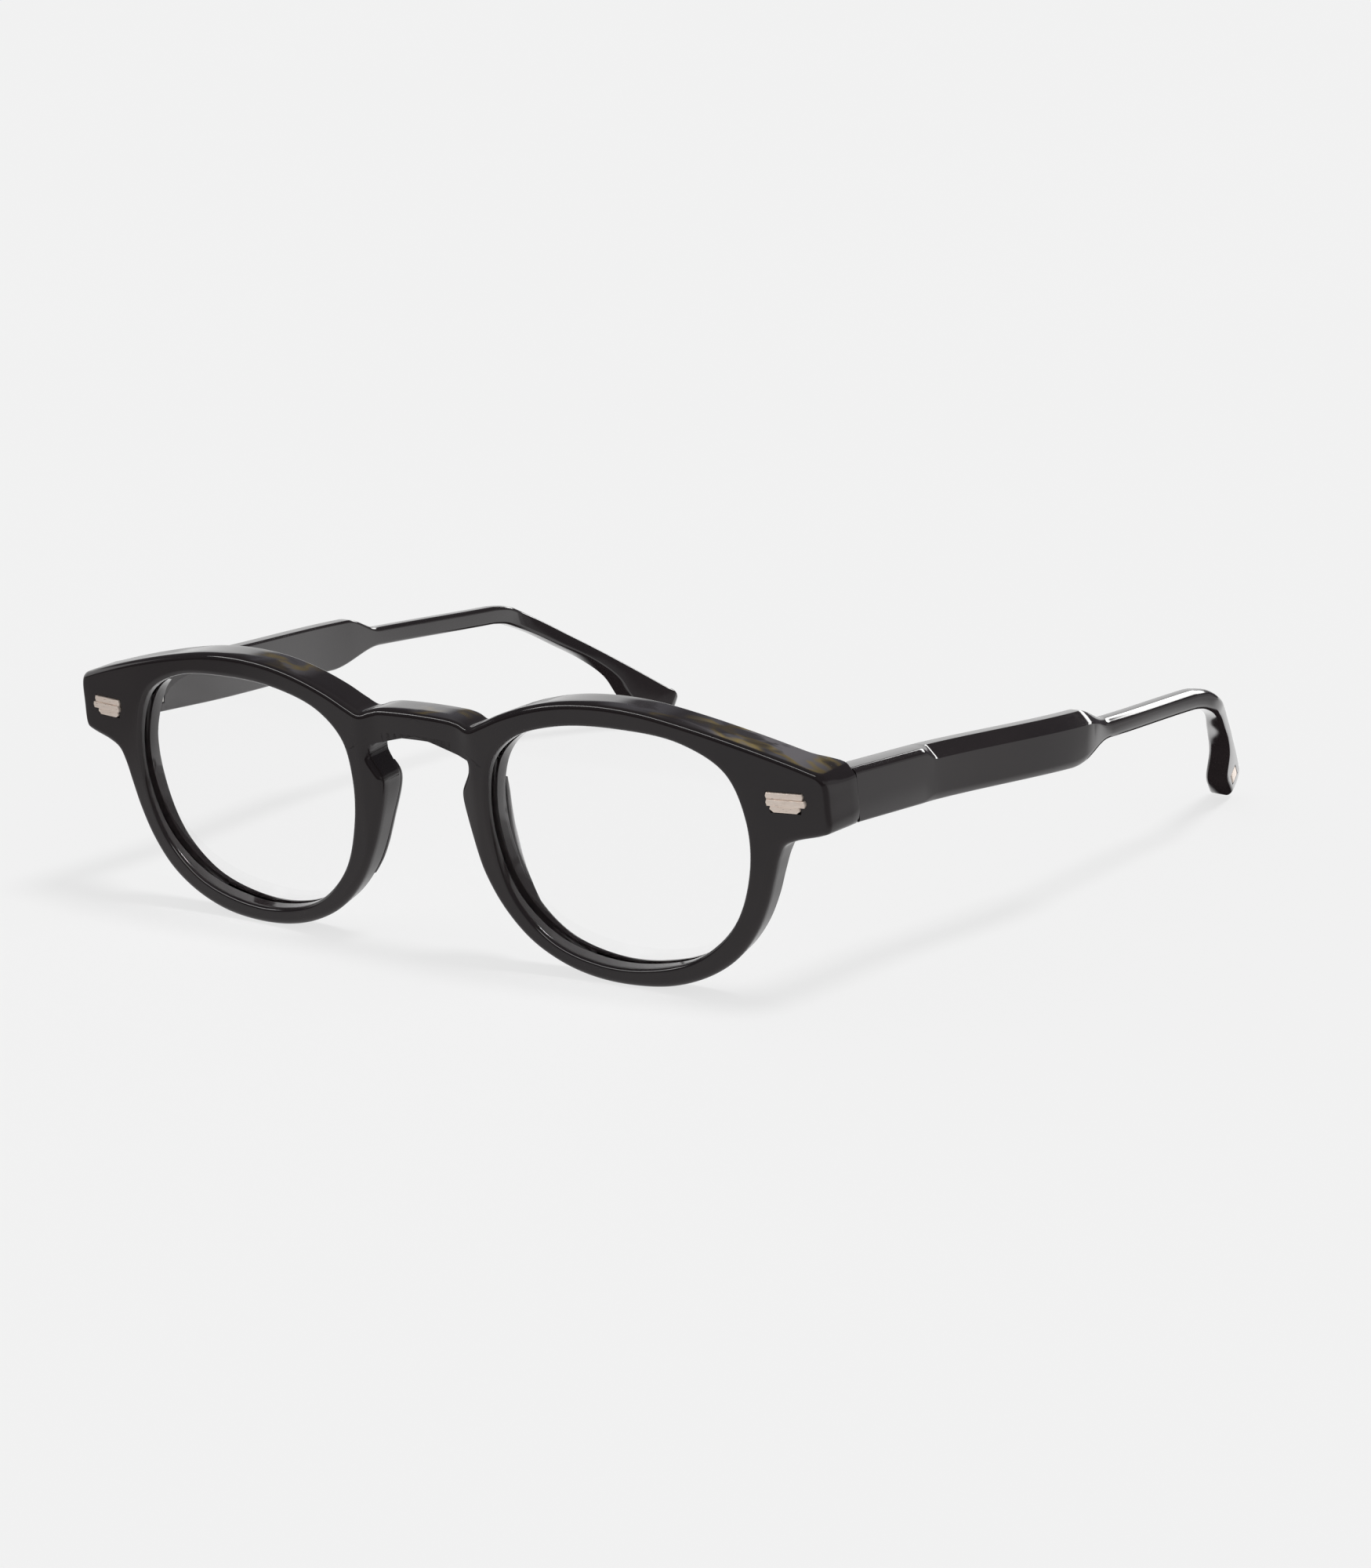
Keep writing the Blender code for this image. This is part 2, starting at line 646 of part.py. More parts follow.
def sideways(s, h):
    """How far outward the temple lies at a point of its length and height."""
    out = BOW * smooth_step(s, *BOW_S) - BOW_BACK * smooth_step(s, *BOW_BACK_S)
    turn = TURN_IN[0] * s - TURN_IN[1] * h - TURN_IN_START
    soft = min(max(turn + TURN_IN_SOFT, 0.0), 2 * TURN_IN_SOFT)
    return out - soft * soft / (4 * TURN_IN_SOFT) - max(turn - TURN_IN_SOFT, 0.0)


def root_s(h, gap=0.0):
    """Where the temple's butt end meets the front's joint face, at a height."""
    return (JOINT_W + BUTT_GAP + gap - AXIS_W) / math.cos(TEMPLE_SLOPE) - h * math.tan(TEMPLE_SLOPE)


def side_profile():
    """Pairs of top and bottom points from the joint to the tip, as (s, h)."""
    pairs = []
    for s in (0.0, 6.0, 12.0, BEVEL_START, BEVEL_START + 1.3, BEVEL_START + 2.7, BEVEL_END,
              35.0, 50.0, LOW_STEP[0], 58.0, 60.0, 62.0, 64.0, 66.0, 67.5, LOW_STEP[1]):
        top = TEMPLE_TOP + (BAR_TOP - TEMPLE_TOP) * smooth_step(s, *TOP_STEP)
        bottom = TEMPLE_BOTTOM + (BAR_BOTTOM - TEMPLE_BOTTOM) * smooth_step(s, *LOW_STEP)
        pairs.append((Vector((s, top)), Vector((s, bottom))))
    for s in (78.0, 85.0, 92.0):
        pairs.append((Vector((s, BAR_TOP)), Vector((s, BAR_BOTTOM))))
    top = curve_through(DROP_TOP, DROP_STEPS)
    bottom = curve_through(DROP_BOTTOM, DROP_STEPS)
    pairs += list(zip(top, bottom))
    return pairs


def temple_thickness(s):
    bar = TEMPLE_THICK + (BAR_THICK - TEMPLE_THICK) * smooth_step(s, STEP_START, STEP_END)
    return bar + (TIP_THICK - BAR_THICK) * smooth_step(s, *TIP_S)


def temple_ring(top, bottom, first):
    """Section of the temple between a top and a bottom point, as eight corners."""
    middle = (top + bottom) / 2
    up = (top - bottom).normalized()
    height = (top - bottom).length
    thick = temple_thickness(middle.x)
    grow = smooth_step(middle.x, BEVEL_START, BEVEL_END)
    shrink = 1 - 0.62 * smooth_step(middle.x, STEP_START, STEP_END)
    wide = SMALL_BEVEL + (TOP_BEVEL[0] - SMALL_BEVEL) * grow * shrink
    tall = SMALL_BEVEL + (TOP_BEVEL[1] - SMALL_BEVEL) * grow * shrink
    small = min(SMALL_BEVEL, height * 0.25)
    inner = TEMPLE_INNER - (TIP_THICK - BAR_THICK) * smooth_step(middle.x, *TIP_S)
    outer = inner + thick
    corners = [(inner + small, height), (outer - wide, height), (outer, height - tall),
               (outer, small), (outer - small, 0), (inner + small, 0), (inner, small),
               (inner, height - small)]
    ring = []
    for x, rise in corners:
        p = bottom + up * rise
        s = root_s(p.y) if first else p.x
        ring.append(Vector((x + sideways(s, p.y), s, p.y)))
    return ring


def core_ring(top, bottom, half, first, gap=0.0):
    """Square section of the core channel or wire."""
    middle = (top + bottom) / 2
    up = (top - bottom).normalized()
    x0 = TEMPLE_INNER + 0.55 * TEMPLE_THICK
    x0 += (TEMPLE_INNER + BAR_THICK / 2 - x0) * smooth_step(middle.x, STEP_START, STEP_END)
    ring = []
    for dx, dh in ((-half, half), (half, half), (half, -half), (-half, -half)):
        p = middle + up * dh
        s = root_s(p.y, gap) if first else p.x
        ring.append(Vector((x0 + dx + sideways(s, p.y), s, p.y)))
    return ring


def make_temple(parent, look, name, side):
    pairs = side_profile()
    outer = [temple_ring(top, bottom, i == 0) for i, (top, bottom) in enumerate(pairs)]
    core = [core_ring(top, bottom, CORE_HALF, i == 0)
            for i, (top, bottom) in enumerate(pairs) if (top + bottom).x / 2 < CORE_END]
    shape = bmesh.new()
    skin = [[shape.verts.new(p) for p in ring] for ring in outer]
    tube = [[shape.verts.new(p) for p in ring] for ring in core]
    for a, b in zip(skin, skin[1:]):
        bridge_rings(shape, a, b)
    for a, b in zip(tube, tube[1:]):
        bridge_rings(shape, a, b)
    shape.faces.new(skin[-1])
    shape.faces.new(tube[-1])
    close_root(shape, skin[0], tube[0])
    temple = new_object(name, shape, parent, look)
    half = PLATE_HEIGHT / 2 - 0.6 + GAP
    cutters = [box((TEMPLE_INNER - 3, -4, -half),
                   (TEMPLE_PLATE[1] + GAP, TEMPLE_PLATE_LENGTH + GAP, half))]
    for s in RIVET_S:
        cutters.append(cylinder(RIVET_RADIUS + GAP, (1, s, 0), (TEMPLE_PLATE[1] + RIVET_END + GAP, s, 0),
                                sides=12))
    cutters.append(inlay_block(GAP, INLAY_DEPTH, INLAY_DEPTH + 3))
    combine(temple, cutters, "DIFFERENCE")
    flip_to_side(temple, side)


def close_root(shape, skin, tube):
    """Face of the temple's butt end, round the mouth of the core channel."""
    joins = ((0, 0), (1, 1), (2, 1), (3, 2), (4, 2), (5, 3), (6, 3), (7, 0))
    for k, (i, t) in enumerate(joins):
        j, t2 = joins[(k + 1) % len(joins)]
        corners = [skin[i], skin[j], tube[t2], tube[t]]
        if t == t2:
            corners = [skin[i], skin[j], tube[t]]
        shape.faces.new(corners)


def make_core_wire(parent, look, name, side):
    pairs = side_profile()
    rings = [core_ring(top, bottom, CORE_WIRE_HALF, i == 0, GAP)
             for i, (top, bottom) in enumerate(pairs) if (top + bottom).x / 2 < CORE_END]
    rings[-1] = [p * 0.1 + q * 0.9 for p, q in zip(rings[-2], rings[-1])]
    new_object(name, loft(rings), parent, look, side)


def inlay_block(grow, depth, proud):
    """Oblong let into the outer face of the temple tip."""
    long, high = INLAY_SIZE
    s0, h0 = INLAY_CENTRE
    outer = TEMPLE_INNER + BAR_THICK
    shape = box((-depth, -long - grow, -high - grow), (proud, long + grow, high + grow))
    bmesh.ops.rotate(shape, matrix=Matrix.Rotation(INLAY_ANGLE, 3, "X"), verts=shape.verts)
    for vert in shape.verts:
        s, h = s0 + vert.co.y, h0 + vert.co.z
        vert.co = Vector((outer + sideways(s, h) + vert.co.x, s, h))
    return shape


def make_tip_inlay(parent, look, name, side):
    new_object(name, inlay_block(0.0, INLAY_DEPTH - GAP, 0.05), parent, look, side)


def make_rivet(parent, look, name, side, s):
    """One of the two rivets that hold the temple's hinge plate."""
    inner, outer = TEMPLE_PLATE
    pin = cylinder(RIVET_RADIUS, (inner - 0.1, s, 0), (outer + RIVET_END, s, 0), sides=12)
    new_object(name, pin, parent, look, side)


# ---------------------------------------------------------------- assembly

def build():
    acetate = material("acetate", (0.012, 0.011, 0.011), 0.12)
    clear = material("demo_lens", (0.95, 0.97, 0.97), 0.03, transmission=1.0)
    rose_gold = material("rose_gold", (0.86, 0.70, 0.58), 0.28, metallic=1.0)
    steel = material("hinge_metal", (0.62, 0.60, 0.57), 0.30, metallic=1.0)
    tilt = empty("front_tilt", None, (0, Y_PLACE, Z_PLACE), FRONT_TILT)
    make_front(tilt, acetate)
    for label, side in SIDES.items():
        make_lens(tilt, clear, "lens_" + label, side)
        make_nose_pad(tilt, acetate, "nose_pad_" + label, side)
        make_plaque(tilt, rose_gold, "front_plaque_" + label, side)
        make_front_hinge(tilt, steel, "front_hinge_" + label, side)
        make_hinge_screw(tilt, steel, "hinge_screw_" + label, side)
        axis = empty("hinge_axis_" + label, tilt, (side * AXIS_U, AXIS_W, AXIS_V))
        slope = empty("temple_slope_" + label, axis, (0, 0, 0), -TEMPLE_SLOPE)
        make_temple_hinge(slope, steel, "temple_hinge_" + label, side)
        make_temple(slope, acetate, "temple_" + label, side)
        make_core_wire(slope, steel, "core_wire_" + label, side)
        make_tip_inlay(slope, rose_gold, "tip_inlay_" + label, side)
        for place, s in zip(("front", "back"), RIVET_S):
            make_rivet(slope, steel, "temple_rivet_" + place + "_" + label, side, s)


clear_scene()
tool_look = material("cutter", (0.5, 0.5, 0.5), 0.5)
build()
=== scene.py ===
"""Fine surfaces, materials, lights and camera for the folding acetate eyeglasses.

Lengths in the shape code are millimetres.  The front is drawn in its own upright frame (u across,
w backwards, v up) and each temple in a frame on its hinge axis (x outward, s along, h up), and
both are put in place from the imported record's joints.
"""

import json
import math

import bmesh
import bpy
import numpy as np
from mathutils import Matrix, Vector


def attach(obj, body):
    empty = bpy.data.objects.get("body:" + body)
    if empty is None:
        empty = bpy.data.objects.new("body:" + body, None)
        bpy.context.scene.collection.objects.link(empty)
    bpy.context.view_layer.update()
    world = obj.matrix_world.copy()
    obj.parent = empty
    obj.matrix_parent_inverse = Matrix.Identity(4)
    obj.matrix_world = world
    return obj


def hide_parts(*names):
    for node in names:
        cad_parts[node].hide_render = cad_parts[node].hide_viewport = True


MM = 0.001
GAP = 0.3
SHARP, WELD = 30, 2e-7
# How far the cutting blocks reach past the surfaces that they open
PAST_SEAT, PAST_JOINT, PAST_INNER, PAST_ROOT, PAST_TIP = 3.0, 2.0, 3.0, 4.0, 3.0

# Front
FACE_WIDTH = 72.0
SAG = (2.77, 1.89)
BRIDGE_DIP = 0.7
DIP_U = (7.5, 11.5)
RIM_DEPTH = (5.2, 6.0)
RIM_DEPTH_V = (26.0, 34.0)
JOINT_W = 11.9
BLOCK_U = (60.3, 62.6)
BLOCK_V = (24.0, 25.6)
BLOCK_TOP_V = (35.3, 37.5)
EDGE_ROUND = 1.0
BACK_ROUND = 0.45
JOINT_EDGE, JOINT_EDGE_U = 0.08, (66.0, 70.0)
WALL_LEAN = (0.6, 0.25)
LEAN_V = (18.0, 26.0)
FLARE, FLARE_U, FLARE_TOP_V = 0.75, (67.0, 70.0), (33.5, 35.5)
LENS_CENTRE = (35.9, 22.0)
BEVEL = 0.75
LIP_W = 1.0
LENS_RADIUS = 120.0
LENS_EDGE = 1.4
LENS_HALF, LENS_CHAMFER, LENS_MIDDLE = 22, 0.3, 0.02
LENS_RINGS, LENS_STEPS = 14, 8
LIP_ROUND = 0.25
GROOVE_DEPTH = 0.9
GROOVE_WIDTH = 2.0
GROOVE_BEHIND = 0.2
BRIDGE_TOP = 38.6
KEYHOLE_TOP = 33.9
OUTLINE = [
    (0, BRIDGE_TOP), (6.4, 38.4), (8.6, 38.0), (10.5, 37.5), (12.6, 38.3), (16.5, 40.1),
    (22, 42.0), (28, 43.3), (35, 43.8), (42, 43.4), (49, 42.2), (56, 40.6), (63, 38.7),
    (69, 36.8), (71.1, 35.9), (71.8, 34.7), (72.0, 31), (72.0, 27.9), (71.6, 26.95),
    (70.3, 26.4), (66.3, 25.4), (64.3, 24.4), (63.2, 22.4), (62.2, 19.2), (60.8, 15.0),
    (58.6, 10.5), (55.1, 6.1), (50.3, 2.8), (44, 0.5), (37, -0.3), (30, 0.1), (24, 1.7),
    (18.5, 4.7), (14, 9.3), (11, 14.5), (8.9, 20.5), (7.75, 25.2), (7.7, 26.6), (7.9, 27.4),
    (9.3, 29.9), (9.52, 30.5), (9.55, 31.6), (8.7, 32.8), (6.5, 33.6), (3, 33.85),
    (0, KEYHOLE_TOP)]
OPENING = [
    (59.2, 28), (56.2, 35.4), (48.8, 39.5), (38, 40.75), (27, 40.1), (18.5, 37.4), (13.9, 33),
    (12.5, 27), (13.0, 19.5), (16.0, 10.9), (22.3, 4.7), (31, 2.0), (40, 2.15), (49, 4.9),
    (55.8, 11.0), (59.1, 19.7)]
OUTLINE_STEPS = 7
LOOP_STEPS = 16
# Evening out where the opening's loop meets the outline's stations
EVEN_PASSES, LEAST_STEP = 60, 0.002
FACE_COLUMNS = 10
REAR_COLUMNS = 22
ARC = 6

# Nose pads
PAD_V = (28.5, 9.5)
PAD_DEPTH = 1.8
PAD_EDGE, PAD_ENDS = 0.35, (0.02, 0.98)
PAD_SPLAY = 0.5
PAD_LEAN = 0.3
PAD_INSET, PAD_SKIRT = 0.1, 0.45
PAD_SINK, PAD_SINK_SHARE = 0.05, 0.4
PAD_STATIONS = 41
PAD_OUTLINE_STEPS, PAD_LOOP_STEPS, PAD_SECTION_STEPS = 8, 12, 4

# Plaques
PLAQUE_CENTRE = (65.5, 31.4)
PLAQUE_BARS = [(-3.1, 2.8, 0.5, 1.5), (-3.0, 3.2, -0.5, 0.5), (-2.55, 2.3, -1.5, -0.5)]
PLAQUE_PROUD = (0.25, 0.40, 0.25)
PLAQUE_POCKET = 0.7
PLAQUE_SEAT = 0.14
PLAQUE_TIP, PLAQUE_EDGE, PLAQUE_CHAMFER = 0.15, 0.09, 0.6

# Hinges
HINGE_AXIS = (66.3, 11.6, 30.8)
POCKET_FLOOR = 8.5
POCKET_U = (63.4, 69.0)
POCKET_V = (-3.7, 4.3)
PLATE_OUTER = 2.45
PLATE_HALF = 2.4
PLATE_LENGTH = 8.6

# Temples
TEMPLE_SLOPE = math.radians(8.785)
TEMPLE_INNER = 1.8
TEMPLE_THICK = 4.3
TEMPLE_TOP, TEMPLE_BOTTOM = 4.1, -4.1
BUTT_GAP = 0.15
BOW, BOW_S = 3.6, (18.0, 60.0)
BOW_BACK, BOW_BACK_S = 1.8, (66.0, 104.0)
BEVEL_S = (18.0, 22.0)
# Sizes of the section's corners at the root, the bevelled body and the slim bar
TOP_WIDE, TOP_TALL = (1.15, 2.1, 1.6), (1.15, 1.9, 1.5)
LOW_WIDE, LOW_TALL = (0.4, 0.5, 0.8), (0.4, 1.2, 0.9)
INNER_EDGE = (0.45, 0.45, 0.7)
CORNER_SHARE = 0.42
STEP_S = (59.0, 69.0)
TOP_STEP, LOW_STEP = (60.0, 68.5), (55.6, 69.0)
BAR_TOP, BAR_BOTTOM = 1.8, -1.4
BAR_THICK = 3.3
BAR_END = 99.0
TIP_THICK, TIP_S = 4.0, (110.0, 122.0)
TURN_IN, TURN_IN_START, TURN_IN_SOFT = (0.26, 0.27), 28.17, 0.9
DROP_TOP = [(BAR_END, BAR_TOP), (103.5, 1.3), (107.5, -0.2), (111.5, -2.2), (117, -5.4),
            (123, -8.9), (129, -12.5), (135, -16.2), (138.6, -18.4)]
DROP_BOTTOM = [(BAR_END, BAR_BOTTOM), (102.5, -1.8), (106, -2.9), (109.6, -4.4), (114.4, -7.0),
               (120.1, -10.2), (124.6, -13.8), (127.4, -18.5), (134.9, -23.38)]
INLAY_CENTRE = (133.0, -18.6)
INLAY_SIZE = (2.0, 1.0)
INLAY_DEPTH = 0.5
INLAY_ANGLE = math.radians(-31)
INLAY_GAP = 0.12
INLAY_STEPS, INLAY_POWER = 32, 0.35
# Scale of the outline and height over the tip's surface, from the edge to the middle
INLAY_CROWN = [(1.0, -0.08), (0.97, 0.0), (0.9, 0.04), (0.5, 0.05)]
DROP_STEPS = 6
CORNER_STEPS = 6
CHAMFER_EASE = 0.1
TIP_ROUND, TIP_CORNER, TIP_CORNER_RISE = 2.4, 1.5, (0.3, 1.5)
TIP_RINGS, TIP_CLEAR, TIP_TAPER = 9, 0.2, 0.4

# Camera
CAMERA_TURN, CAMERA_RISE, CAMERA_ROLL = 0.624995617, 0.24434795, -0.0315529126
CAMERA_PLACE = (38.5288, 25.9992, 709.4305)
CAMERA_LENS = 106.1936
CAMERA_SETBACK = -0.141

# Light: plain pale surroundings, and a studio that only the reflections show
BACKGROUND = 0.871
AMBIENT = 0.35
KEY_TURN, KEY_RISE, KEY_ENERGY, KEY_SPREAD = 75.0, 69.0, 1.5, 16.0
FLOOR_RADIUS, FLOOR_SEGMENTS, FLOOR_DROP = 6.0, 96, 0.00002
FLOOR_GLOW, FLOOR_SHADE = 0.72, 0.2
# Painted reflection of the floor, a glow that only reflected rays see: from and to where (metres),
# and from and to what brightness, along Y and |X|
FLOOR_FRONT, FLOOR_BACK = (-0.205, -0.185, 0.0, 0.5), (-0.08, 0.06, 0.0, 0.9)
FLOOR_WIDE = (0.09, 0.14, 1.0, 0.45)
# Painted shade in it under each temple's tip: edges along 2|X| - Y, Y and |X|
PAINTED_SHADE_SLANT, PAINTED_SHADE_FRONT = (0.042, 0.046), (0.045, 0.052)
PAINTED_SHADE_BACK, PAINTED_SHADE_OUTER = (0.077, 0.081, 1.0, 0.0), (0.075, 0.085, 1.0, 0.0)
DARK = (0.10, 0.10, 0.11)
CEILING = (45, 70, 0.0, 0.15)
# Turn and rise of each panel's edges in degrees, softness, and brightness
PANELS = [
    ((-20, 10), (18.0, 24.5), 2.0, 9.0),
    ((-110, -15), (-20, 17), 4.0, 1.1),
    ((14, 120), (-20, 8), 6.0, 0.34),
    ((-181, -120), (25.0, 30.0), 1.0, 9.0),
    ((170, 181), (25.0, 30.0), 1.0, 9.0),
]

# Acetate: tones as stops of a noise, and the roughness of its polish
BLACKS = [(0.35, (0.0170, 0.0135, 0.0145)), (0.7, (0.0225, 0.0180, 0.0185))]
POLISH = (0.055, 0.10)
ACETATE_IOR = 1.49
# Stretches of the front's top wall with a painted sheen of olive and grey streaks: middle, reach
# and strength
TOP_SHEEN_STRETCHES = [(0.0605, 0.014, 1.0), (0.041, 0.007, 0.5), (0.004, 0.006, 0.4), (-0.027, 0.007, 0.5)]
TOP_SHEEN_TONES = [(0.44, (0.11, 0.105, 0.115)), (0.51, (0.26, 0.195, 0.075)),
                (0.57, (0.17, 0.16, 0.17))]
# How far up the wall faces for the painted sheen, its least height (metres), and how strong the
# streaks are
TOP_SHEEN_FACING, TOP_SHEEN_HEIGHT = (0.70, 0.84), (0.033, 0.035)
TOP_SHEEN_STREAKS = (0.40, 0.54, 0.2, 1.0)

# Lens: refraction, and the tone of what its shadow lets through
LENS_IOR, LENS_SHADOW = 1.3, (0.97, 0.975, 0.975)

SIDES = {"left": 1, "right": -1}


# ---------------------------------------------------------------- curves

def step01(value, low, high):
    t = np.clip((np.asarray(value, float) - low) / (high - low), 0, 1)
    return t * t * (3 - 2 * t)


def mix(a, b, t):
    return a + (b - a) * t


def curve_through(points, steps, closed=False):
    """Points along a centripetal Catmull-Rom curve through the given ones."""
    pts = np.array(points, float)
    if closed:
        pts = np.vstack([pts[-1], pts, pts[:2]])
    else:
        pts = np.vstack([pts[0], pts, pts[-1]])
    result = []
    for a, b, c, d in zip(pts, pts[1:], pts[2:], pts[3:]):
        k = [0.0]
        for p, q in ((a, b), (b, c), (c, d)):
            k.append(k[-1] + max(float(np.linalg.norm(q - p)), 1e-6) ** 0.5)
        for i in range(steps):
            t = mix(k[1], k[2], i / steps)
            level = [mix(p, q, (t - k[n]) / (k[n + 1] - k[n]))
                     for n, (p, q) in enumerate(((a, b), (b, c), (c, d)))]
            level = [mix(level[n], level[n + 1], (t - k[n]) / (k[n + 2] - k[n])) for n in (0, 1)]
            result.append(mix(level[0], level[1], (t - k[1]) / (k[2] - k[1])))
    if not closed:
        result.append(pts[-1])
    return np.array(result)


def normals_of(points, closed=False):
    """Unit normals on the left of a run of points."""
    if closed:
        along = np.roll(points, -1, 0) - np.roll(points, 1, 0)
    else:
        along = np.gradient(points, axis=0)
    along /= np.linalg.norm(along, axis=1)[:, None]
    return np.stack([-along[:, 1], along[:, 0]], 1)


# ---------------------------------------------------------------- meshes

def new_piece(name, verts, faces, place, look, angle=SHARP):
    """A smooth-shaded object from millimetre points, put in place by a matrix."""
    mesh = bpy.data.meshes.new(name)
    mesh.from_pydata([Vector(p) for p in verts], [], faces)
    mesh.transform(place)
    shape = bmesh.new()
    shape.from_mesh(mesh)
    bmesh.ops.remove_doubles(shape, verts=shape.verts, dist=WELD)
    bmesh.ops.recalc_face_normals(shape, faces=shape.faces)
    shape.to_mesh(mesh)
    shape.free()
    mesh.materials.append(look)
    mesh.shade_smooth()
    mesh.set_sharp_from_angle(angle=math.radians(angle))
    made = bpy.data.objects.new(name, mesh)
    bpy.context.scene.collection.objects.link(made)
    return made


def tube_faces(rings):
    """Quads between closed rings of points, and a face over each end."""
    count = len(rings[0])
    faces = []
    for start in range(0, (len(rings) - 1) * count, count):
        for j in range(count):
            k = (j + 1) % count
            faces.append((start + j, start + k, start + count + k, start + count + j))
    last = (len(rings) - 1) * count
    faces.append(tuple(range(count)))
    faces.append(tuple(last + k for k in range(count)))
    return faces


def cut(target, cutters):
    """Boolean difference, applied."""
    for cutter in cutters:
        tool = target.modifiers.new("cut", "BOOLEAN")
        tool.operation = "DIFFERENCE"
        tool.solver = "EXACT"
        tool.object = cutter
    bpy.context.view_layer.update()
    graph = bpy.context.evaluated_depsgraph_get()
    old = target.data
    result = bpy.data.meshes.new_from_object(target.evaluated_get(graph))
    target.modifiers.clear()
    target.data = result
    result.name = old.name
    result.shade_smooth()
    result.set_sharp_from_angle(angle=math.radians(SHARP))
    for cutter in cutters:
        bpy.data.objects.remove(cutter, do_unlink=True)


def box_points(low, high):
    """Corners and faces of an upright box."""
    x, y, z = zip(low, high)
    verts = [(i, j, k) for i in x for j in y for k in z]
    faces = [(0, 1, 3, 2), (4, 6, 7, 5), (0, 4, 5, 1), (2, 3, 7, 6), (0, 2, 6, 4), (1, 5, 7, 3)]
    return verts, faces


# ---------------------------------------------------------------- front

def face_w(u):
    """Depth of the front's face, which curves back to the sides and dips at the bridge."""
    q = (np.asarray(u) / FACE_WIDTH) ** 2
    return SAG[0] * q + SAG[1] * q * q + BRIDGE_DIP * (1 - step01(np.abs(u), *DIP_U))


def rear_w(u, v):
    """Depth of the front's back, with a block behind each end piece."""
    rim = face_w(u) + mix(*RIM_DEPTH, step01(v, *RIM_DEPTH_V))
    block = step01(u, *BLOCK_U) * step01(v, *BLOCK_V) * (1 - step01(v, *BLOCK_TOP_V))
    return rim + (JOINT_W - rim) * block


def groove_front(u, v):
    """Depth of the lens groove's front wall, which follows the lens."""
    own = face_w(u) + LIP_W + (np.asarray(v) - LENS_CENTRE[1]) ** 2 / (2 * LENS_RADIUS)
    return np.maximum(own, face_w(u) + BEVEL + GROOVE_BEHIND)


def closest_places(points, loop):
    """Where the loop comes closest to each point, evened out and always moving the same way."""
    count = len(loop)
    places = []
    for p in points:
        place = int(np.argmin(((loop - p) ** 2).sum(1)))
        if places:
            place += count * round((places[-1] - place) / count)
        places.append(float(place))
    places = np.array(places)
    for _ in range(EVEN_PASSES):
        places[1:-1] = (places[:-2] + 2 * places[1:-1] + places[2:]) / 4
    for i in range(1, len(places)):
        places[i] = min(places[i], places[i - 1] - LEAST_STEP)
    return places


def loop_at(values, places):
    """Values of a closed loop at places between its points."""
    low = np.floor(places).astype(int)
    f = (places - low)[:, None]
    return mix(values[low % len(values)], values[(low + 1) % len(values)], f)


def front_rows(outer, normal, inner, inward):
    """Closed profile at every station, as (u, w, v) points, and the wall's first and last row."""
    lip = inner + inward * BEVEL
    bed = lip - inward * GROOVE_DEPTH
    flare = FLARE * step01(outer[:, 0], *FLARE_U) * (1 - step01(outer[:, 1], *FLARE_TOP_V))
    lean = (mix(*WALL_LEAN, step01(outer[:, 1], *LEAN_V)) - flare)[:, None]
    edge = outer - normal * EDGE_ROUND
    back = outer - normal * lean
    soft = mix(BACK_ROUND, JOINT_EDGE, step01(outer[:, 0], *JOINT_EDGE_U))
    back_edge = back - normal * soft[:, None]
    rows = []

    def add(p, w):
        rows.append(np.stack([p[:, 0], w, p[:, 1]], 1))

    for i in range(ARC + 1):
        turn = math.pi / 2 * i / ARC
        p = inner + inward * BEVEL * math.cos(turn)
        add(p, face_w(p[:, 0]) + BEVEL * (1 - math.sin(turn)))
    for i in range(1, FACE_COLUMNS):
        p = mix(inner, edge, i / FACE_COLUMNS)
        add(p, face_w(p[:, 0]))
    for i in range(ARC + 1):
        turn = math.pi / 2 * i / ARC
        p = edge + normal * EDGE_ROUND * math.sin(turn)
        add(p, face_w(p[:, 0]) + EDGE_ROUND * (1 - math.cos(turn)))
    wall_start = len(rows) - 1
    front_w, rear = face_w(outer[:, 0]) + EDGE_ROUND, rear_w(back[:, 0], back[:, 1]) - soft
    for f in (0.25, 0.5, 0.75):
        add(mix(outer, back, f), mix(front_w, rear, f))
    for i in range(ARC + 1):
        turn = math.pi / 2 * i / ARC
        p = back_edge + normal * soft[:, None] * math.cos(turn)
        add(p, rear_w(p[:, 0], p[:, 1]) - soft * (1 - math.sin(turn)))
    wall_end = len(rows) - 1
    for i in range(1, REAR_COLUMNS):
        p = mix(back_edge, lip, i / REAR_COLUMNS)
        add(p, rear_w(p[:, 0], p[:, 1]))
    lip_rear = rear_w(lip[:, 0], lip[:, 1])
    for i in range(ARC // 2 + 1):
        turn = math.pi / 2 * i / (ARC // 2)
        p = lip - inward * LIP_ROUND * (1 - math.sin(turn))
        add(p, lip_rear - LIP_ROUND * (1 - math.cos(turn)))
    near = groove_front(lip[:, 0], lip[:, 1])
    for p, w in ((lip, near + GROOVE_WIDTH), (bed, near + GROOVE_WIDTH), (bed, near), (lip, near)):
        add(p, w)
    return np.stack(rows, 1), (wall_start, wall_end)


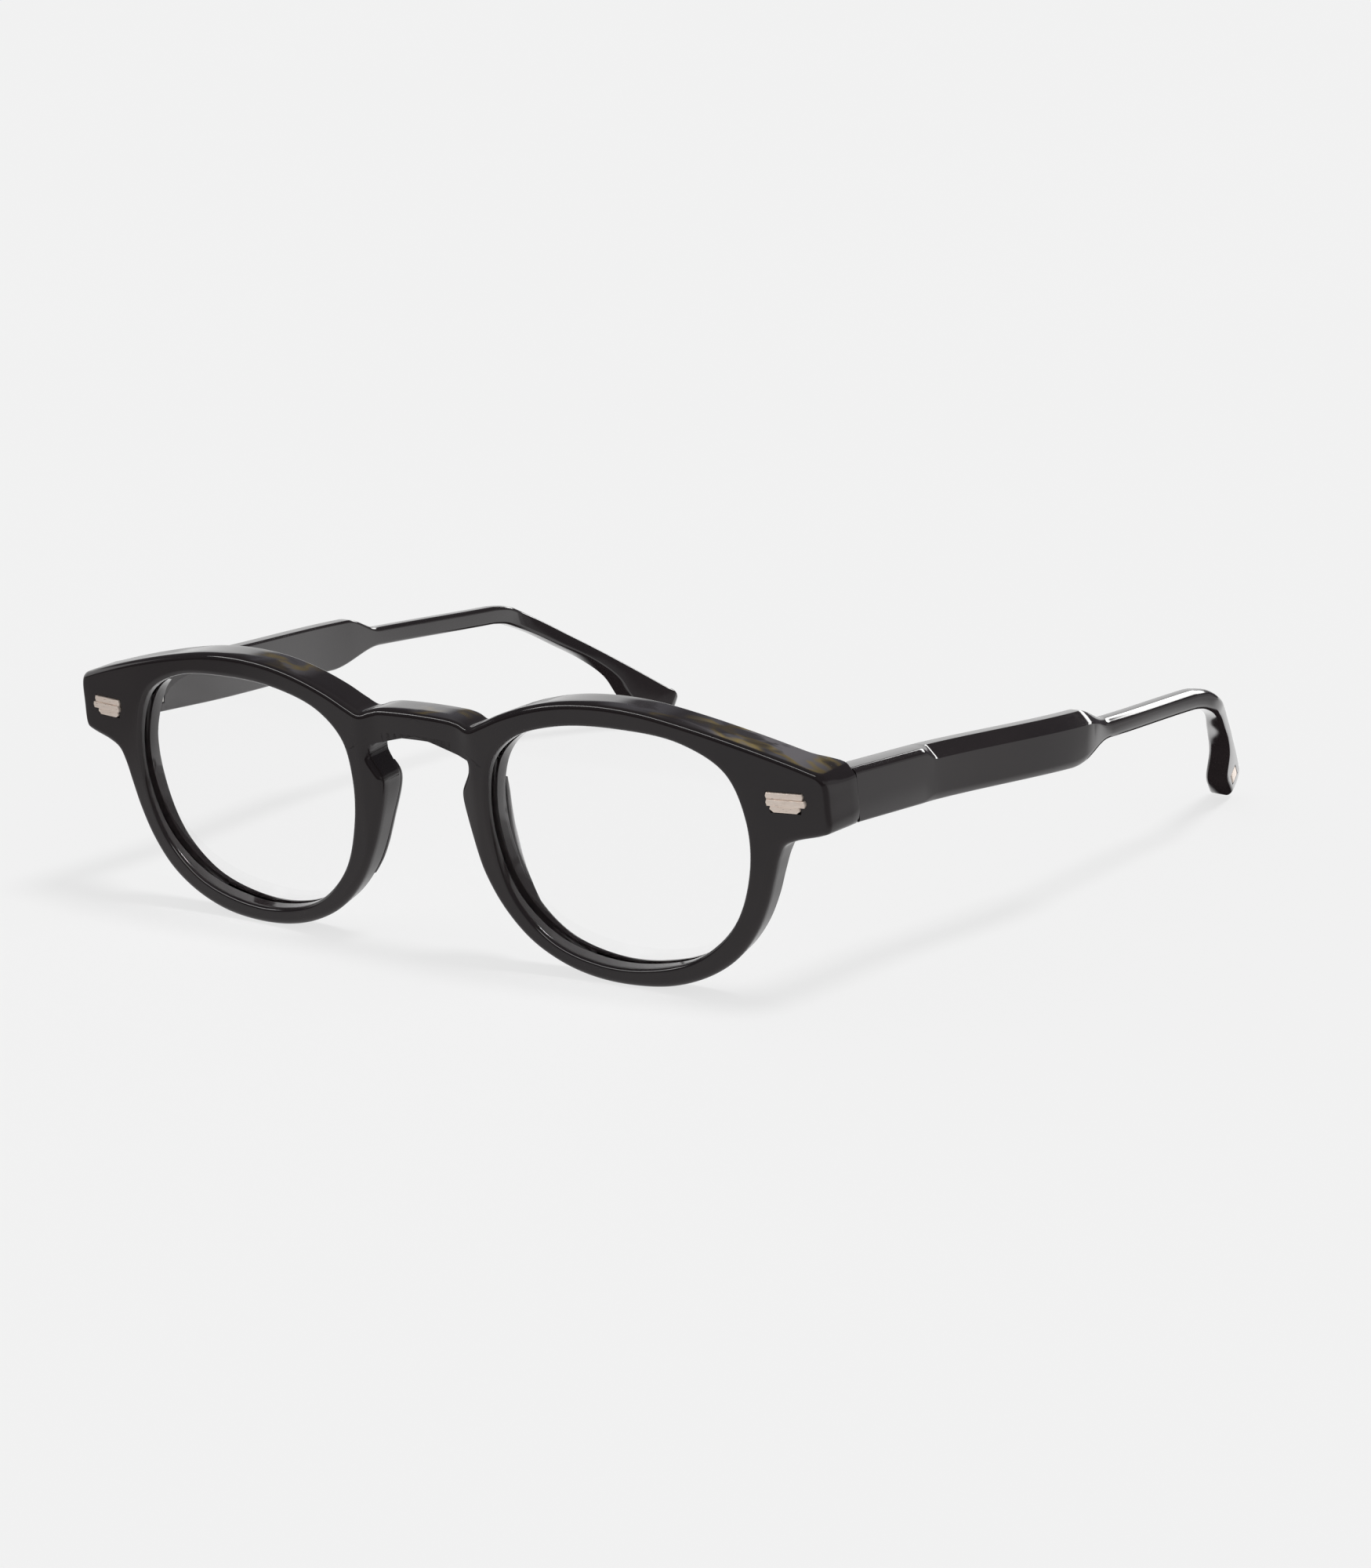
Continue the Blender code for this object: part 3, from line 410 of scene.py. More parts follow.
def front_stations():
    """Outer points, their normals, and the opening's points and inward normals, for one side."""
    outer = curve_through(OUTLINE, OUTLINE_STEPS)
    normal = normals_of(outer)
    normal[0], normal[-1] = (0, 1), (0, -1)
    middle = np.array([[0, f] for f in np.linspace(KEYHOLE_TOP, BRIDGE_TOP, 6)[1:-1]])
    outer = np.vstack([outer, middle])
    normal = np.vstack([normal, np.zeros_like(middle)])
    loop = curve_through(OPENING, LOOP_STEPS, closed=True)
    places = closest_places(outer, loop)
    inner = loop_at(loop, places)
    inward = loop_at(normals_of(loop, closed=True), places)
    inward /= np.linalg.norm(inward, axis=1)[:, None]
    return outer, normal, inner, inward


def make_front(place, look):
    """Both sides of the front as one closed mesh, joined on the middle plane."""
    outer, normal, inner, inward = front_stations()
    rows, wall = front_rows(outer, normal, inner, inward)
    count, width = rows.shape[:2]
    on_plane = np.abs(outer[:, 0]) < 1e-6
    faces = []
    for i in range(count):
        k = (i + 1) % count
        for j in range(width):
            if wall[0] - ARC <= j < wall[1] and on_plane[i] and on_plane[k]:
                continue
            m = (j + 1) % width
            faces.append((i * width + j, i * width + m, k * width + m, k * width + j))
    verts = rows.reshape(-1, 3)
    total = len(verts)
    both = np.vstack([verts, verts * [-1, 1, 1]])
    faces += [tuple(total + n for n in face[::-1]) for face in faces]
    return new_piece("front", both, faces, place, look)


def front_place():
    """Matrix of the front's frame, from the hinge axes that the record holds."""
    joint = next(j for j in frame["joints"] if j["name"] == "temple_fold_left")
    tilt = math.atan2(-joint["axis"][1], joint["axis"][2])
    turn = Matrix.Rotation(tilt, 4, "X")
    origin = Vector(joint["pos_m"]) - turn @ (Vector(HINGE_AXIS) * MM)
    return Matrix.Translation(origin) @ turn @ Matrix.Scale(MM, 4)


def side_place(front, side):
    """Matrix of the front's frame for one side, mirrored for the right one."""
    return front @ Matrix.Diagonal((side, 1, 1, 1))


def temple_place(front, side):
    """Matrix of a temple's frame: its hinge axis, then the slope of the temple."""
    axis = Matrix.Translation(Vector(HINGE_AXIS))
    slope = Matrix.Rotation(-TEMPLE_SLOPE, 4, "X")
    return side_place(front, side) @ axis @ slope


# ---------------------------------------------------------------- lenses, pads, plaques

def make_lens(name, place, look):
    """Lens in its groove: rings from the middle of the front face to the middle of the back."""
    loop = curve_through(OPENING, LENS_STEPS, closed=True)
    rim = loop + normals_of(loop, closed=True) * (BEVEL - GROOVE_DEPTH + GAP)
    centre = np.array(LENS_CENTRE)
    bevelled = centre + (rim - centre) * (1 - LENS_CHAMFER / LENS_HALF)
    scales = np.linspace(1.0, LENS_MIDDLE, LENS_RINGS)
    rings = []
    for thick, order in ((0.0, scales[::-1]), (LENS_EDGE, scales)):
        for scale in order:
            edge = bevelled if scale == 1.0 else rim
            p = centre + (edge - centre) * scale
            w = groove_front(p[:, 0], p[:, 1]) + GAP + thick
            rings.append(np.stack([p[:, 0], w, p[:, 1]], 1))
        if thick == 0.0:
            w = groove_front(rim[:, 0], rim[:, 1]) + GAP + LENS_EDGE / 2
            rings.append(np.stack([rim[:, 0], w, rim[:, 1]], 1))
    return new_piece(name, np.vstack(rings), tube_faces(rings), place, look, angle=40)


def crossing(points, v):
    """Leftmost crossing of a run of points with a height."""
    found = []
    for a, b in zip(points, points[1:]):
        if (a[1] - v) * (b[1] - v) <= 0 and a[1] != b[1]:
            found.append(mix(a[0], b[0], (v - a[1]) / (b[1] - a[1])))
    return min(found)


def make_pad(name, place, look):
    """Crescent behind the rim, thickest in its middle, with a nose side that splays outward."""
    outline = curve_through(OUTLINE, PAD_OUTLINE_STEPS)
    nose_side = [p for p in outline[len(outline) // 2:] if p[0] < LENS_CENTRE[0]]
    loop = curve_through(OPENING, PAD_LOOP_STEPS, closed=True)
    lip = loop + normals_of(loop, closed=True) * BEVEL
    rings = []
    for t in np.linspace(0, 1, PAD_STATIONS):
        v = mix(*PAD_V, t)
        swell = math.sin(math.pi * t)
        depth = PAD_EDGE * math.sqrt(math.sin(math.pi * mix(*PAD_ENDS, t))) + PAD_DEPTH * swell
        outer = crossing(nose_side, v) + float(mix(*WALL_LEAN, step01(v, *LEAN_V))) + PAD_INSET
        inner = crossing(lip, v) - PAD_INSET
        base = float(max(rear_w(outer, v), rear_w(inner, v))) + GAP
        base -= (GAP + PAD_SINK) * (1 - min(1.0, swell / PAD_SINK_SHARE))
        splay = PAD_SPLAY * depth
        section = curve_through([
            (inner, base - PAD_SKIRT), (inner, base),
            (inner - PAD_LEAN * depth, base + depth * 0.65),
            ((outer + inner) / 2 + splay * 0.5, base + depth),
            (outer + splay + 0.25, base + depth * 0.9),
            (outer + splay * 0.5, base + depth * 0.5),
            (outer, base), (outer, base - PAD_SKIRT)], PAD_SECTION_STEPS)
        rings.append([(p[0], p[1], v) for p in section])
    verts = np.array(rings).reshape(-1, 3)
    return new_piece(name, verts, tube_faces(rings), place, look, angle=45)


def plaque_face(u):
    """Depth of the flat seat that touches the face at the plaque's centre."""
    centre = PLAQUE_CENTRE[0]
    slope = (face_w(centre + 1) - face_w(centre - 1)) / 2
    return float(face_w(centre) + (u - centre) * slope)


def plaque_outline(grow):
    """Stepped outline of the three bars, anticlockwise, with pointed ends."""
    u0, v0 = PLAQUE_CENTRE
    right, left = [], []
    for a, b, low, high in PLAQUE_BARS[::-1]:
        right += [(b - PLAQUE_TIP, low), (b, (low + high) / 2), (b - PLAQUE_TIP, high)]
        left += [(a + PLAQUE_TIP, low), (a, (low + high) / 2), (a + PLAQUE_TIP, high)]
    right[0] = (right[0][0], right[0][1] - grow)
    left[0] = (left[0][0], left[0][1] - grow)
    right[-1] = (right[-1][0], right[-1][1] + grow)
    left[-1] = (left[-1][0], left[-1][1] + grow)
    points = [(u + grow, v) for u, v in right] + [(u - grow, v) for u, v in left[::-1]]
    return [(u0 + u, v0 + v) for u, v in points]


def prism(outline, near, far):
    """Closed prism over an outline, between two depths from the plaque's seat."""
    count = len(outline)
    verts = [(u, plaque_face(u) + d, v) for d in (near, far) for u, v in outline]
    faces = [(k, (k + 1) % count, count + (k + 1) % count, count + k) for k in range(count)]
    faces.append(tuple(range(count))[::-1])
    faces.append(tuple(range(count, 2 * count)))
    return verts, faces


def make_plaque(name, place, look):
    """Three bars one above the other, each with bevelled edges and pointed ends."""
    u0, v0 = PLAQUE_CENTRE
    verts, faces = [], []
    for (a, b, low, high), proud in zip(PLAQUE_BARS, PLAQUE_PROUD):
        middle = (low + high) / 2
        lower = PLAQUE_CHAMFER if low == PLAQUE_BARS[-1][2] else PLAQUE_TIP
        loop = [(a + lower, low), (b - lower, low), (b, middle), (b - PLAQUE_TIP, high),
                (a + PLAQUE_TIP, high), (a, middle)]
        levels = []
        soft = PLAQUE_EDGE * 0.3
        for shrink, depth in ((0, PLAQUE_POCKET - GAP), (0, PLAQUE_EDGE - proud),
                              (soft, soft - proud), (PLAQUE_EDGE, -proud)):
            ring = []
            for u, v in loop:
                du = math.copysign(shrink, (a + b) / 2 - u)
                dv = 0 if abs(v - middle) < 1e-6 else math.copysign(shrink, middle - v)
                ring.append((u0 + u + du, plaque_face(u0 + u + du) + depth, v0 + v + dv))
            levels.append(ring)
        start = len(verts)
        verts += [p for ring in levels for p in ring]
        faces += [tuple(start + k for k in face) for face in tube_faces(levels)]
    return new_piece(name, verts, faces, place, look, angle=20)


# ---------------------------------------------------------------- temples

def sideways(s, h):
    """How far outward the temple lies at a point of its length and height."""
    out = BOW * step01(s, *BOW_S) - BOW_BACK * step01(s, *BOW_BACK_S)
    turn = TURN_IN[0] * s - TURN_IN[1] * h - TURN_IN_START
    soft = np.clip(turn + TURN_IN_SOFT, 0, 2 * TURN_IN_SOFT)
    return out - soft ** 2 / (4 * TURN_IN_SOFT) - np.maximum(turn - TURN_IN_SOFT, 0)


def root_s(h):
    """Where the temple's root face lies at a height, parallel to the end piece's joint face."""
    behind = JOINT_W + BUTT_GAP - HINGE_AXIS[1]
    return behind / math.cos(TEMPLE_SLOPE) - h * math.tan(TEMPLE_SLOPE)


def side_profile():
    """Pairs of top and bottom points from the joint to the tip, as (s, h)."""
    stations = [0.0, 1.7, 3.0, 7.0, 12.0, 16.0]
    stations += list(np.linspace(17.5, 22.5, 16)) + [26.0, 32.0, 38.0, 44.0, 50.0, 53.0]
    stations += list(np.linspace(55, 70, 31)) + list(np.linspace(72, 98, 12))
    pairs = [((s, float(mix(TEMPLE_TOP, BAR_TOP, step01(s, *TOP_STEP)))),
              (s, float(mix(TEMPLE_BOTTOM, BAR_BOTTOM, step01(s, *LOW_STEP))))) for s in stations]
    top = curve_through(DROP_TOP, DROP_STEPS)
    bottom = curve_through(DROP_BOTTOM, DROP_STEPS)
    return pairs + [(tuple(a), tuple(b)) for a, b in zip(top, bottom)]


def corner(kind, x, rise, wide, tall, flat):
    """Points round one corner of the section, from its top or bottom edge to its side.

    kind is the direction of the corner as two signs; flat is 1 for a plain chamfer, 0 for round.
    """
    sx, sy = kind
    points = []
    for i in range(CORNER_STEPS + 1):
        turn = math.pi / 2 * i / CORNER_STEPS
        round_x, round_y = wide * (1 - math.sin(turn)), tall * (1 - math.cos(turn))
        flat_t = np.interp(i / CORNER_STEPS, (0, 1 / 3, 2 / 3, 1),
                           (0, CHAMFER_EASE, 1 - CHAMFER_EASE, 1))
        flat_x, flat_y = wide * (1 - flat_t), tall * flat_t
        dx, dy = mix(round_x, flat_x, flat), mix(round_y, flat_y, flat)
        points.append((x - sx * dx, rise - sy * dy))
    return points


def temple_ring(top, bottom, first):
    """One closed section of the temple, between a top and a bottom point of its side profile."""
    top, bottom = np.array(top, float), np.array(bottom, float)
    height = float(np.linalg.norm(top - bottom))
    up = (top - bottom) / height
    s0 = ((top + bottom) / 2)[0]
    bar = float(step01(s0, *STEP_S))
    grow = float(step01(s0, *BEVEL_S))
    wide, tall, low_wide, low_tall, inner_edge = (
        mix(mix(root, body, grow), slim, bar)
        for root, body, slim in (TOP_WIDE, TOP_TALL, LOW_WIDE, LOW_TALL, INNER_EDGE))
    limit = height * CORNER_SHARE
    tip = float(mix(0, TIP_THICK - BAR_THICK, step01(s0, *TIP_S)))
    inner, outer = TEMPLE_INNER - tip, TEMPLE_INNER + mix(TEMPLE_THICK, BAR_THICK, bar)
    flat = grow * (1 - bar)
    points = []
    corners = [((1, 1), outer, height, wide, min(tall, limit), flat),
               ((1, -1), outer, 0.0, low_wide, min(low_tall, limit), 0.0),
               ((-1, -1), inner, 0.0, inner_edge, inner_edge, 0.0),
               ((-1, 1), inner, height, inner_edge, inner_edge, 0.0)]
    for number, (kind, x, rise, w, t, f) in enumerate(corners):
        run = corner(kind, x, rise, w, t, f)
        points += run if number in (0, 2) else run[::-1]
    ring = []
    for x, rise in points:
        p = bottom + up * rise
        s = root_s(p[1]) if first else p[0]
        ring.append((x + float(sideways(s, p[1])), s, p[1]))
    return np.array(ring)


def make_temple(name, place, look):
    """Temple with a rounded end, cut for the hinge plate at its root and the inlay at its tip."""
    pairs = side_profile()
    rings = [temple_ring(a, b, k == 0) for k, (a, b) in enumerate(pairs)]
    end = rings[-1]
    top, bottom = (np.array((0.0, *p)) for p in pairs[-1])
    up = (top - bottom) / np.linalg.norm(top - bottom)
    along = np.array([0.0, up[2], -up[1]])
    base = end - along * TIP_ROUND
    rings = [ring for ring in rings if ((end - ring) @ along).min() > TIP_ROUND + TIP_CLEAR]
    across = end[:, 0] - sideways(end[:, 1], end[:, 2])
    rise = (base - base.mean(0)) @ up
    side = np.sign(rise) * step01(np.abs(rise), *TIP_CORNER_RISE)
    for turn in np.linspace(0, math.pi / 2, TIP_RINGS):
        drop = TIP_CORNER * (1 - math.cos(turn)) * side
        ring = base + along * TIP_ROUND * math.sin(turn) - drop[:, None] * up
        inward = (across.max() - across) * mix(TIP_TAPER, 1.0, math.cos(turn))
        ring[:, 0] = across.max() - inward + sideways(ring[:, 1], ring[:, 2])
        rings.append(ring)
    temple = new_piece(name, np.vstack(rings), tube_faces(rings), place, look)
    pocket = box_points((TEMPLE_INNER - PAST_INNER, -PAST_ROOT, -PLATE_HALF - GAP),
                        (PLATE_OUTER + GAP, PLATE_LENGTH + GAP, PLATE_HALF + GAP))
    cut(temple, [new_piece("pocket", *pocket, place, look),
                 new_piece("recess", *inlay_recess(), place, look)])
    return temple


def inlay_recess():
    """Oblong let into the outer face of the temple tip, following its lean."""
    long, high = (size + INLAY_GAP for size in INLAY_SIZE)
    verts, faces = box_points((-INLAY_DEPTH, -long, -high), (PAST_TIP, long, high))
    return [inlay_point(*p) for p in verts], faces


def inlay_point(x, a, b):
    """A point at height x over the tip's outer face, a along the inlay and b across it."""
    s = INLAY_CENTRE[0] + a * math.cos(INLAY_ANGLE) - b * math.sin(INLAY_ANGLE)
    h = INLAY_CENTRE[1] + a * math.sin(INLAY_ANGLE) + b * math.cos(INLAY_ANGLE)
    return (TEMPLE_INNER + BAR_THICK + float(sideways(s, h)) + x, s, h)


def make_inlay(name, place, look):
    """The gold oblong with rounded ends and a slightly crowned face."""
    long, high = INLAY_SIZE
    rings = []
    for scale, x in [(1.0, -INLAY_DEPTH + GAP)] + INLAY_CROWN:
        ring = []
        for k in range(INLAY_STEPS):
            turn = 2 * math.pi * k / INLAY_STEPS
            a, b = math.cos(turn), math.sin(turn)
            a = math.copysign(abs(a) ** INLAY_POWER, a) * long * scale
            b = math.copysign(abs(b) ** INLAY_POWER, b) * high * scale
            ring.append(inlay_point(x, a, b))
        rings.append(ring)
    return new_piece(name, np.array(rings).reshape(-1, 3), tube_faces(rings), place, look)


# ---------------------------------------------------------------- materials

def new_material(name):
    made = bpy.data.materials.new(name)
    made.use_nodes = True
    tree = made.node_tree
    shader = tree.nodes["Principled BSDF"]
    return made, tree, shader


def node(tree, kind, values=(), **settings):
    made = tree.nodes.new(kind)
    for key, value in settings.items():
        setattr(made, key, value)
    for key, value in dict(values).items():
        made.inputs[key].default_value = value
    return made


def link(tree, a, b):
    tree.links.new(a, b)


def noise(tree, scale, detail=2.0, stretch=(1, 1, 1), turn=(0, 0, 0), distortion=0.0):
    """A noise texture in the object's own coordinates, in cycles per millimetre."""
    place = node(tree, "ShaderNodeTexCoord")
    mapping = node(tree, "ShaderNodeMapping",
                   {"Scale": [s / MM for s in stretch], "Rotation": turn})
    link(tree, place.outputs["Object"], mapping.inputs["Vector"])
    made = node(tree, "ShaderNodeTexNoise",
                {"Scale": scale, "Detail": detail, "Distortion": distortion})
    link(tree, mapping.outputs["Vector"], made.inputs["Vector"])
    return made.outputs["Fac"]


def ramp(tree, source, stops):
    made = node(tree, "ShaderNodeValToRGB")
    elements = made.color_ramp.elements
    while len(elements) < len(stops):
        elements.new(0.5)
    for element, (place, colour) in zip(elements, stops):
        element.position = place
        element.color = (*colour, 1) if len(colour) == 3 else colour
    link(tree, source, made.inputs["Fac"])
    return made.outputs["Color"]


def map_range(tree, source, low, high, to_low=0.0, to_high=1.0):
    made = node(tree, "ShaderNodeMapRange", {"From Min": low, "From Max": high, "To Min": to_low,
                                             "To Max": to_high}, interpolation_type="SMOOTHSTEP")
    link(tree, source, made.inputs["Value"])
    return made.outputs["Result"]


def maths(tree, operation, a, b):
    made = node(tree, "ShaderNodeMath", operation=operation)
    for socket, value in zip(made.inputs, (a, b)):
        if isinstance(value, (int, float)):
            socket.default_value = value
        else:
            link(tree, value, socket)
    return made.outputs[0]


def mix_colour(tree, factor, a, b):
    made = node(tree, "ShaderNodeMix", data_type="RGBA", clamp_factor=False)
    sockets = (made.inputs["Factor"], made.inputs[6], made.inputs[7])
    for socket, value in zip(sockets, (factor, a, b)):
        if isinstance(value, tuple):
            socket.default_value = (*value, 1)
        elif isinstance(value, float):
            socket.default_value = value
        else:
            link(tree, value, socket)
    return made.outputs[2]


def bump(tree, shader, source, strength, distance):
    made = node(tree, "ShaderNodeBump", {"Strength": strength, "Distance": distance})
    link(tree, source, made.inputs["Height"])
    link(tree, made.outputs["Normal"], shader.inputs["Normal"])


def mix_surface(tree, factor, a, b):
    """Make the surface one shader where the factor is 0 and the other where it is 1."""
    either = node(tree, "ShaderNodeMixShader")
    for source, socket in zip((factor, a, b), either.inputs):
        link(tree, source, socket)
    link(tree, either.outputs[0], tree.nodes["Material Output"].inputs["Surface"])


def acetate(name, painted_top_sheen):
    """Polished black acetate; olive and grey streaks are painted as a sheen on the up-facing slopes
    of the front's top wall.
    """
    made, tree, shader = new_material(name)
    shade = ramp(tree, noise(tree, 0.05, 3.0), BLACKS)
    # Painted sheen: olive and grey streaks only where the top wall faces up, above a height, in the
    # listed stretches
    if painted_top_sheen:
        geometry = node(tree, "ShaderNodeNewGeometry")
        normal = node(tree, "ShaderNodeSeparateXYZ")
        link(tree, geometry.outputs["Normal"], normal.inputs[0])
        place = node(tree, "ShaderNodeTexCoord")
        axes = node(tree, "ShaderNodeSeparateXYZ")
        link(tree, place.outputs["Object"], axes.inputs[0])
        facing = map_range(tree, normal.outputs["Z"], *TOP_SHEEN_FACING)
        facing = maths(tree, "MULTIPLY", facing, map_range(tree, axes.outputs["Z"], *TOP_SHEEN_HEIGHT))
        streaks = noise(tree, 0.13, 2.5, stretch=(0.55, 1.4, 1.0), turn=(0, 0, 0.5), distortion=1.2)
        colours = ramp(tree, noise(tree, 0.2, 2.0, stretch=(0.5, 1.0, 1)), TOP_SHEEN_TONES)
        patches = 0.0
        for across, reach, strength in TOP_SHEEN_STRETCHES:
            away = maths(tree, "SUBTRACT", axes.outputs["X"], across)
            away = maths(tree, "ABSOLUTE", away, 0.0)
            patch = map_range(tree, away, reach * 0.4, reach, strength, 0.0)
            patches = maths(tree, "ADD", patch, patches)
        facing = maths(tree, "MULTIPLY", facing, patches)
        amount = maths(tree, "MULTIPLY", facing, map_range(tree, streaks, *TOP_SHEEN_STREAKS))
        shade = mix_colour(tree, amount, shade, colours)
    link(tree, shade, shader.inputs["Base Color"])
    rough = map_range(tree, noise(tree, 0.6, 4.0), 0.3, 0.7, *POLISH)
    link(tree, rough, shader.inputs["Roughness"])
    shader.inputs["IOR"].default_value = ACETATE_IOR
    bump(tree, shader, noise(tree, 0.22, 1.0), 0.12, 0.00004)
    return made


def metal(name, colour, dark, roughness, grain, metallic=1.0):
    """Satin plated metal with a fine grain along one direction."""
    made, tree, shader = new_material(name)
    lines = noise(tree, 6.0, 3.0, stretch=grain)
    tone = ramp(tree, lines, [(0.3, dark), (0.65, colour)])
    link(tree, tone, shader.inputs["Base Color"])
    shader.inputs["Metallic"].default_value = metallic
    rough = map_range(tree, lines, 0.3, 0.7, roughness * 0.8, roughness * 1.25)
    link(tree, rough, shader.inputs["Roughness"])
    bump(tree, shader, lines, 0.15, 0.00002)
    return made


def clear_lens(name):
    """Clear demo lens that lets lamps through to what stands behind it."""
    made, tree, shader = new_material(name)
    shader.inputs["Base Color"].default_value = (1.0, 1.0, 1.0, 1)
    shader.inputs["Transmission Weight"].default_value = 1.0
    shader.inputs["IOR"].default_value = LENS_IOR
    haze = map_range(tree, noise(tree, 0.08, 2.0), 0.3, 0.7, 0.0, 0.012)
    link(tree, haze, shader.inputs["Roughness"])
    path = node(tree, "ShaderNodeLightPath")
    open_way = node(tree, "ShaderNodeBsdfTransparent")
    open_way.inputs["Color"].default_value = (*LENS_SHADOW, 1)
    mix_surface(tree, path.outputs["Is Shadow Ray"], shader.outputs[0], open_way.outputs[0])
    return made


def only_reflected(tree):
    """1 where a ray comes off a glossy surface, and not through a lens."""
    path = node(tree, "ShaderNodeLightPath")
    through = maths(tree, "SUBTRACT", 1.0, path.outputs["Is Transmission Ray"])
    return maths(tree, "MULTIPLY", path.outputs["Is Glossy Ray"], through)


def floor_material():
    """Evenly lit pale sheet.

    Reflections show a painted glow instead: brighter behind the glasses, ending in front of them,
    and painted shade under the temples' tips.
    """
    made, tree, shader = new_material("floor")
    tone = ramp(tree, noise(tree, 0.004, 2.0), [(0.3, (FLOOR_SHADE * 0.99,) * 3),
                                                (0.7, (FLOOR_SHADE * 1.01,) * 3)])
    link(tree, tone, shader.inputs["Base Color"])
    shader.inputs["Roughness"].default_value = 1.0
    shader.inputs["Specular IOR Level"].default_value = 0.0
    shader.inputs["Emission Color"].default_value = (FLOOR_GLOW,) * 3 + (1,)
    shader.inputs["Emission Strength"].default_value = 1.0
    place = node(tree, "ShaderNodeTexCoord")
    axes = node(tree, "ShaderNodeSeparateXYZ")
    link(tree, place.outputs["Object"], axes.inputs[0])
    # Painted reflection: a glow by place on the floor that only reflected rays see
    front = map_range(tree, axes.outputs["Y"], *FLOOR_FRONT)
    back = map_range(tree, axes.outputs["Y"], *FLOOR_BACK)
    wide_x = maths(tree, "ABSOLUTE", axes.outputs["X"], 0.0)
    wide = map_range(tree, wide_x, *FLOOR_WIDE)
    bright = maths(tree, "MULTIPLY", maths(tree, "ADD", front, back), wide)
    # Painted shade under each temple's tip, taken out of the reflected glow
    slant = maths(tree, "SUBTRACT", maths(tree, "MULTIPLY", wide_x, 2.0), axes.outputs["Y"])
    patch = maths(tree, "MULTIPLY", map_range(tree, slant, *PAINTED_SHADE_SLANT),
                  map_range(tree, axes.outputs["Y"], *PAINTED_SHADE_FRONT))
    patch = maths(tree, "MULTIPLY", patch, map_range(tree, wide_x, *PAINTED_SHADE_OUTER))
    patch = maths(tree, "MULTIPLY", patch, map_range(tree, axes.outputs["Y"], *PAINTED_SHADE_BACK))
    bright = maths(tree, "MULTIPLY", bright, maths(tree, "SUBTRACT", 1.0, patch))
    glow = node(tree, "ShaderNodeEmission")
    link(tree, bright, glow.inputs["Strength"])
    mix_surface(tree, only_reflected(tree), shader.outputs[0], glow.outputs[0])
    return made


# ---------------------------------------------------------------- studio

def make_floor():
    """A wide pale sheet, on which the glasses stand."""
    shape = bmesh.new()
    bmesh.ops.create_circle(shape, cap_ends=True, segments=FLOOR_SEGMENTS, radius=FLOOR_RADIUS)
    mesh = bpy.data.meshes.new("floor")
    shape.to_mesh(mesh)
    shape.free()
    mesh.materials.append(floor_material())
    floor = bpy.data.objects.new("floor", mesh)
    floor.location.z = -FLOOR_DROP
    bpy.context.scene.collection.objects.link(floor)


def band(tree, value, edges, soft):
    """1 between two edges, falling to 0 over the softness outside them."""
    low, high = edges
    rise = map_range(tree, value, low - soft, low)
    fall = map_range(tree, value, high, high + soft, 1.0, 0.0)
    return maths(tree, "MULTIPLY", rise, fall)


def make_world():
    """Plain pale surroundings, with the studio's white panels and dark room for reflections."""
    world = bpy.data.worlds.new("studio")
    bpy.context.scene.world = world
    world.use_nodes = True
    tree = world.node_tree
    tree.nodes.clear()
    place = node(tree, "ShaderNodeTexCoord")
    axes = node(tree, "ShaderNodeSeparateXYZ")
    link(tree, place.outputs["Generated"], axes.inputs[0])
    turn = maths(tree, "ARCTAN2", axes.outputs["X"], axes.outputs["Y"])
    turn = maths(tree, "MULTIPLY", turn, 180 / math.pi)
    rise = maths(tree, "MULTIPLY", maths(tree, "ARCSINE", axes.outputs["Z"], 0.0), 180 / math.pi)
    total = 0.0
    for turns, rises, soft, bright in PANELS:
        spot = maths(tree, "MULTIPLY", band(tree, turn, turns, soft), band(tree, rise, rises, soft))
        total = maths(tree, "ADD", maths(tree, "MULTIPLY", spot, bright), total)
    total = maths(tree, "ADD", total, map_range(tree, rise, *CEILING))
    reflected = mix_colour(tree, total, DARK, (1.0, 1.0, 1.0))
    path = node(tree, "ShaderNodeLightPath")
    plain = mix_colour(tree, path.outputs["Is Diffuse Ray"], (BACKGROUND,) * 3, (AMBIENT,) * 3)
    colour = mix_colour(tree, only_reflected(tree), plain, reflected)
    back = node(tree, "ShaderNodeBackground")
    link(tree, colour, back.inputs["Color"])
    out = node(tree, "ShaderNodeOutputWorld")
    link(tree, back.outputs[0], out.inputs["Surface"])


def make_sun(name, turn, rise, energy, spread):
    """A soft light from a compass direction (from +Y towards +X) and a height, in degrees."""
    light = bpy.data.lights.new(name, "SUN")
    light.energy = energy
    light.angle = math.radians(spread)
    lamp = bpy.data.objects.new(name, light)
    a, e = math.radians(turn), math.radians(rise)
    away = Vector((math.sin(a) * math.cos(e), math.cos(a) * math.cos(e), math.sin(e)))
    lamp.rotation_mode = "QUATERNION"
    lamp.rotation_quaternion = away.to_track_quat("Z", "Y")
    lamp.visible_glossy = False
    bpy.context.scene.collection.objects.link(lamp)


